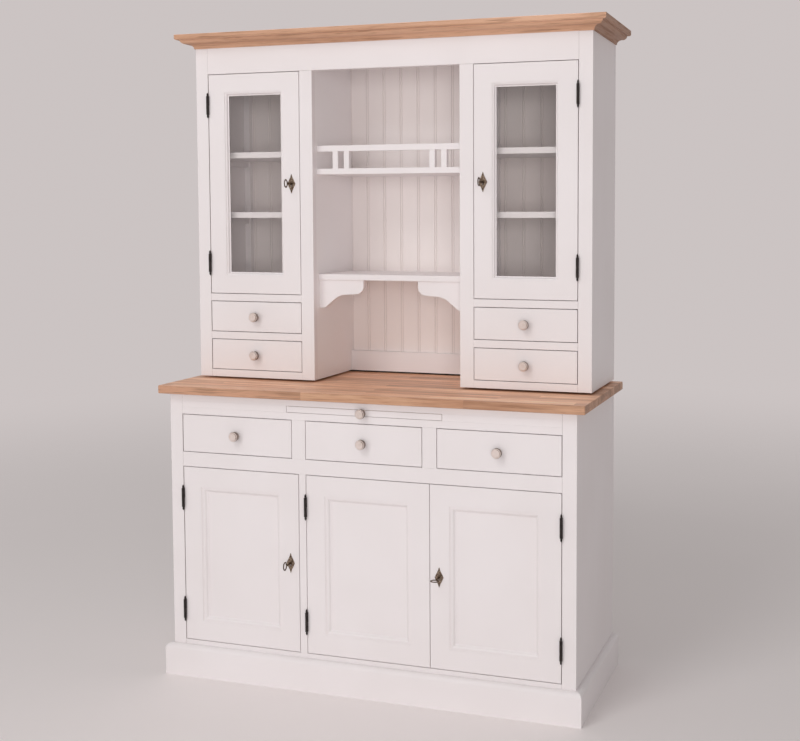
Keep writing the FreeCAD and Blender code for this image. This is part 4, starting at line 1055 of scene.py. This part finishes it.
@dataclass
class Keys:
    """Cabinet keys with oval bows."""

    shaft_radius: float = 2.4
    shaft_out: float = 25.5
    shaft_in: float = 12.5
    collar_radius: float = 3.6
    collar_start: float = 1.8
    collar_end: float = 4.8
    bow_reach: float = 47.5
    bow_height: float = 27.0
    bow_depth: float = 22.0
    tube: float = 2.0
    flat: float = 1.6
    bit_reach: float = 7.5
    bit_low: float = -12.5
    bit_high: float = -7.5
    bit_half: float = 1.0
    ease: float = 0.4
    bit_ease: float = 0.25
    collar_ease: float = 0.5
    ring_back: float = 3.5
    ring_half: float = 1.3
    ring_radius: float = 1.1
    tip: Profile = ((-0.3, 0.0), (-0.9, 2.0))
    tip_end: float = 2.2
    tube_steps: int = 14
    bow_steps: int = 40
    shaft_steps: int = 24

    def bow(self) -> bmesh.types.BMesh:
        """Oval ring about the origin, its long axis along X and its depth along Z."""
        mesh = bmesh.new()
        middle = (self.bow_height + self.bow_depth) / 4 - self.tube
        bmesh.ops.create_circle(mesh, cap_ends=False, radius=self.tube * MM, segments=self.tube_steps)
        bmesh.ops.scale(mesh, vec=(1.0, self.flat / self.tube, 1.0), verts=mesh.verts)
        bmesh.ops.translate(mesh, vec=(middle * MM, 0.0, 0.0), verts=mesh.verts)
        spun(mesh, (0.0, 1.0, 0.0), self.bow_steps)
        outer = middle + self.tube
        stretch = (self.bow_height / 2 / outer, 1.0, self.bow_depth / 2 / outer)
        bmesh.ops.scale(mesh, vec=stretch, verts=mesh.verts)
        return mesh

    def shaft(self) -> bmesh.types.BMesh:
        """Round shaft with its collar and a small ring below the bow."""
        rim, ease, end = self.shaft_radius, self.ease, self.shaft_out
        points = [(0.0, -self.shaft_in), (rim - ease, -self.shaft_in), (rim, ease - self.shaft_in)]
        collar, low, high = self.collar_radius, self.collar_start, self.collar_end
        cut = self.collar_ease
        points += [(rim, low), (collar - cut, low), (collar, low + cut)]
        points += [(collar, high - cut), (collar - cut, high), (rim, high)]
        ring = end - self.ring_back
        points += [(rim, ring - self.ring_half), *arc((rim, ring), self.ring_radius, -75, 75, 5)]
        points += [(rim, ring + self.ring_half), *((rim + out, end + up) for out, up in self.tip)]
        return turned(points + [(0.0, end + self.tip_end)], self.shaft_steps)

    def build(self, finish: bpy.types.Material) -> None:
        """Builds the four keys, each turned as its CAD node is.

        Args:
            finish: Metal of the keys.
        """
        for name in LOCKED_DOORS:
            joint = JOINTS[name + "_key_turn"]
            level = name == "base_right"
            way = int(joint["axis"][1])
            bit_turn = math.radians(-way * 90 if level else 0)
            centre = Matrix.Translation(joint["pos_m"]) @ TOWARDS_FRONT
            whole = bmesh.new()
            added(whole, self.shaft(), centre)
            middle = self.bow_reach - self.bow_depth / 2
            bow_turn = Matrix.Rotation(0.0 if level else math.radians(90), 4, "Z")
            added(whole, self.bow(), centre @ Matrix.Translation((0.0, 0.0, middle * MM)) @ bow_turn)
            low = (-self.bit_half, -self.bit_reach, self.bit_low)
            high = (self.bit_half, 0.0, self.bit_high)
            turn = Matrix.Rotation(bit_turn, 4, "Z")
            added(whole, block(low, high, self.bit_ease), centre @ turn)
            finished(name + "_cabinet_key", whole, [finish], name + "_key", [name + "_key"])


@dataclass
class Woodwork:
    """The CAD nodes that stay, each with its finish."""

    drawer_front: float = 20 * MM
    stile: float = 42 * MM
    seam: float = 0.3 * MM
    frieze: float = 81 * MM
    niche_half: float = 242 * MM
    post: float = 43 * MM
    lipping: float = 2 * MM
    quirk_start: float = 1.2 * MM
    quirk_end: float = 3.0 * MM

    def dress(self, name: str, material: bpy.types.Material) -> None:
        """Gives a CAD node its finish.

        Args:
            name: Name of the node.
            material: Finish.
        """
        data = NODES[name].data
        data.materials.clear()
        data.materials.append(material)
        LOG.info("%s finished with %s", name, material.name)

    def frame_seams(self, name: str) -> list[Patch]:
        """Joints between the boards of a face frame.

        Args:
            name: Node of the face frame.

        Returns:
            One joint beside each outer stile and, on the hutch, one on top of each post.
        """
        low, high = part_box(name)
        seams = []
        for across in (low.x + self.stile, high.x - self.stile):
            seams.append(Patch((across - self.seam, across + self.seam), (low.z, high.z)))
        if name.startswith("hutch"):
            foot = high.z - self.frieze
            for side in (1, -1):
                span = sorted((side * self.niche_half, side * (self.niche_half + self.post)))
                seams.append(Patch((span[0], span[1]), (foot - self.seam, foot + self.seam)))
        return seams

    def build(self) -> None:
        """Dresses every node that no new piece stands for."""
        upright = WHITE.make("lacquer_upright", Grain.UPRIGHT)
        level = WHITE.make("lacquer_level", Grain.ACROSS)
        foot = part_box("hutch_face_frame")[0].z
        for name in sorted(NODES):
            if name.endswith("_face_frame"):
                seams = self.frame_seams(name)
                self.dress(name, WHITE.make(name + "_lacquer", Grain.UPRIGHT, seams))
            elif name.endswith("_back"):
                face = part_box(name)[0].y
                # Depths along Y where the groove walls get painted shade.
                groove_shade_depths = (face + self.quirk_start, face + self.quirk_end)
                # Backs take the warmer copy of the white as painted bounce light.
                self.dress(name, BOUNCE_WARMED_WHITE.make(name + "_lacquer", Grain.UPRIGHT, groove_shade_depths=groove_shade_depths))
            elif name.endswith(("_panel", "_sides", "_frame")) or name == "gallery_rail":
                self.dress(name, upright)
            elif name == "hutch_boards":
                # Painted shade: the bearers in the gap under the hutch are near-black to stand for the
                # shadow there.
                shaded_bearers = Patch((-1.0, 1.0), (0.0, foot))
                # The boards take the lighter copy of the white as painted light.
                self.dress(name, PAINTED_LIGHT_WHITE.make(name + "_lacquer", Grain.ACROSS, shaded_spans=[shaded_bearers]))
            elif name.endswith(("_boards", "_guides", "_shelves", "_brackets")) or name == "plinth":
                self.dress(name, level)
            elif name.endswith("_glass"):
                self.dress(name, Pane().make(name + "_clear"))
            elif name.endswith("_bolt"):
                self.dress(name, LOCK_STEEL.make(name + "_plated"))
            elif "drawer" in name and not name.endswith("_knob"):
                low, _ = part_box(name)
                finish = DrawerWood(WHITE).make(name + "_wood", low.y + self.drawer_front)
                self.dress(name, finish)
        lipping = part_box("pull_out_board")[0].y + self.lipping
        self.dress("pull_out_board", DrawerWood(WHITE).make("pull_out_wood", lipping))
        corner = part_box("worktop")[1]
        self.dress("worktop", OILED_OAK.make("worktop_oak", corner.x, corner.z))
        low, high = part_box("hutch_face_frame")
        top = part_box("cornice")[1].z
        self.dress("cornice", MOULDED_OAK.make("cornice_oak", high.x, top, low.y))


@dataclass(frozen=True)
class Lamp:
    """Square soft lamp that faces the middle of the cabinet."""

    name: str
    place: tuple[float, float, float]
    size: float
    power: float
    mirrored: bool = False

    def hang(self, aim: tuple[float, float, float]) -> None:
        """Hangs the lamp in its place.

        Args:
            aim: Point that it faces.
        """
        data = bpy.data.lights.new(self.name, "AREA")
        data.shape = "SQUARE"
        data.size = self.size
        data.energy = self.power
        lamp = bpy.data.objects.new(self.name, data)
        lamp.location = self.place
        lamp.rotation_euler = (Vector(aim) - Vector(self.place)).to_track_quat("-Z", "Y").to_euler()
        lamp.visible_glossy = self.mirrored
        lamp.visible_transmission = False
        bpy.context.scene.collection.objects.link(lamp)


@dataclass
class Studio:
    """Pale floor, soft light and the camera at the photograph's viewing angle."""

    picture_width: float = 800.0
    picture_height: float = 741.0
    focal_pixels: float = 1161.3
    centre_across: float = 512.0
    centre_down: float = 290.0
    sensor: float = 36.0
    eye: tuple[float, float, float] = (1.4172, -3.3123, 1.4268)
    yaw: float = 17.190
    pitch: float = -3.600
    floor_half: float = 14.0
    floor_colour: tuple[float, float, float] = (0.93, 0.87, 0.86)
    fade_start: float = 1.2
    fade_end: float = 6.5
    backdrop: tuple[float, float, float] = (0.60, 0.55, 0.545)
    sky: tuple[float, float, float] = (1.0, 0.985, 0.98)
    sky_ramps: tuple[tuple[float, float], ...] = ((1.0, 0.6), (0.29, 0.24), (0.75, 1.9))
    sky_span: tuple[float, float] = (-0.2, 0.8)
    aim: tuple[float, float, float] = (0.0, 0.0, 1.0)
    lamps: tuple[Lamp, ...] = (
        Lamp("key_lamp", (-2.6, -6.0, 2.0), 3.0, 50.0),
        Lamp("fill_lamp", (3.4, -7.6, 1.5), 3.0, 165.0),
        Lamp("gleam_lamp", (-1.1, -3.6, 4.6), 2.0, 48.0, mirrored=True),
    )

    def floor(self) -> None:
        """Lays a plain pale floor, which is no part of the object."""
        mesh = bmesh.new()
        bmesh.ops.create_grid(mesh, x_segments=1, y_segments=1, size=self.floor_half)
        data = bpy.data.meshes.new("floor")
        mesh.to_mesh(data)
        mesh.free()
        recipe = Recipe("floor_paint")
        cloud = recipe.noise(recipe.coordinates, 0.8, 2.0)
        recipe.set(Base_Color=self.floor_colour, Roughness=recipe.spread(cloud, 0.3, 0.7, 0.55, 0.75))
        x, y, _ = recipe.axes()
        squares = [recipe.math("MULTIPLY", part, part) for part in (x, y)]
        away = recipe.math("SQRT", recipe.math("ADD", *squares))
        glow = recipe.add("Emission")
        recipe.feed(glow.inputs["Color"], self.backdrop)
        fade = recipe.spread(away, self.fade_start, self.fade_end)
        ground = recipe.choose(fade, recipe.shader.outputs[0], glow.outputs[0])
        recipe.feed(recipe.output.inputs[0], ground)
        data.materials.append(recipe.material)
        piece = bpy.data.objects.new("floor", data)
        bpy.context.scene.collection.objects.link(piece)

    def world(self) -> None:
        """Sets soft light, strongest from above, and a pale backdrop for the eye, gloss and glass."""
        world = bpy.data.worlds.new("studio")
        bpy.context.scene.world = world
        graph = Graph(world, "OutputWorld")
        split = graph.add("SeparateXYZ")
        graph.feed(split.inputs[0], graph.add("TexCoord").outputs["Generated"])
        ramps = [
            graph.spread(source, *self.sky_span, start, end, "LINEAR")
            for source, (start, end) in zip(split.outputs, self.sky_ramps)
        ]
        strength = graph.math("MULTIPLY", graph.math("MULTIPLY", ramps[0], ramps[1]), ramps[2])
        light, seen = graph.add("Background"), graph.add("Background")
        graph.feed(light.inputs[0], self.sky)
        graph.feed(light.inputs[1], strength)
        graph.feed(seen.inputs[0], self.backdrop)
        path = graph.add("LightPath").outputs
        share = graph.math("MAXIMUM", path["Is Camera Ray"], path["Is Glossy Ray"])
        share = graph.math("MAXIMUM", share, path["Is Transmission Ray"])
        graph.feed(graph.output.inputs[0], graph.choose(share, light.outputs[0], seen.outputs[0]))

    def camera(self) -> None:
        """Sets the camera where the photograph was taken from."""
        data = bpy.data.cameras.new("camera")
        data.sensor_width = self.sensor
        data.lens = self.focal_pixels / self.picture_width * self.sensor
        data.shift_x = (self.picture_width / 2 - self.centre_across) / self.picture_width
        data.shift_y = (self.centre_down - self.picture_height / 2) / self.picture_width
        data.clip_end = 100.0
        camera = bpy.data.objects.new("camera", data)
        camera.location = self.eye
        camera.rotation_euler = (math.radians(90 + self.pitch), 0.0, math.radians(self.yaw))
        bpy.context.scene.collection.objects.link(camera)
        bpy.context.scene.camera = camera

    def build(self) -> None:
        """Builds the whole studio."""
        self.floor()
        self.world()
        for lamp in self.lamps:
            lamp.hang(self.aim)
        self.camera()
        bpy.context.scene.view_settings.view_transform = "Standard"


def main() -> None:
    """Builds the looks in order."""
    logging.basicConfig(level=logging.INFO)
    Woodwork().build()
    Knobs().build([NICKEL.make("nickel"), SHADED_NICKEL.make("shaded_nickel")])
    Hinges().build(BLACK_IRON.make("black_iron"))
    Locks().build([OLD_BRASS.make("old_brass"), NAIL_IRON.make("nail_iron")])
    Keys().build(KEY_BRASS.make("key_brass"))
    Studio().build()


if __name__ == "__main__":
    main()
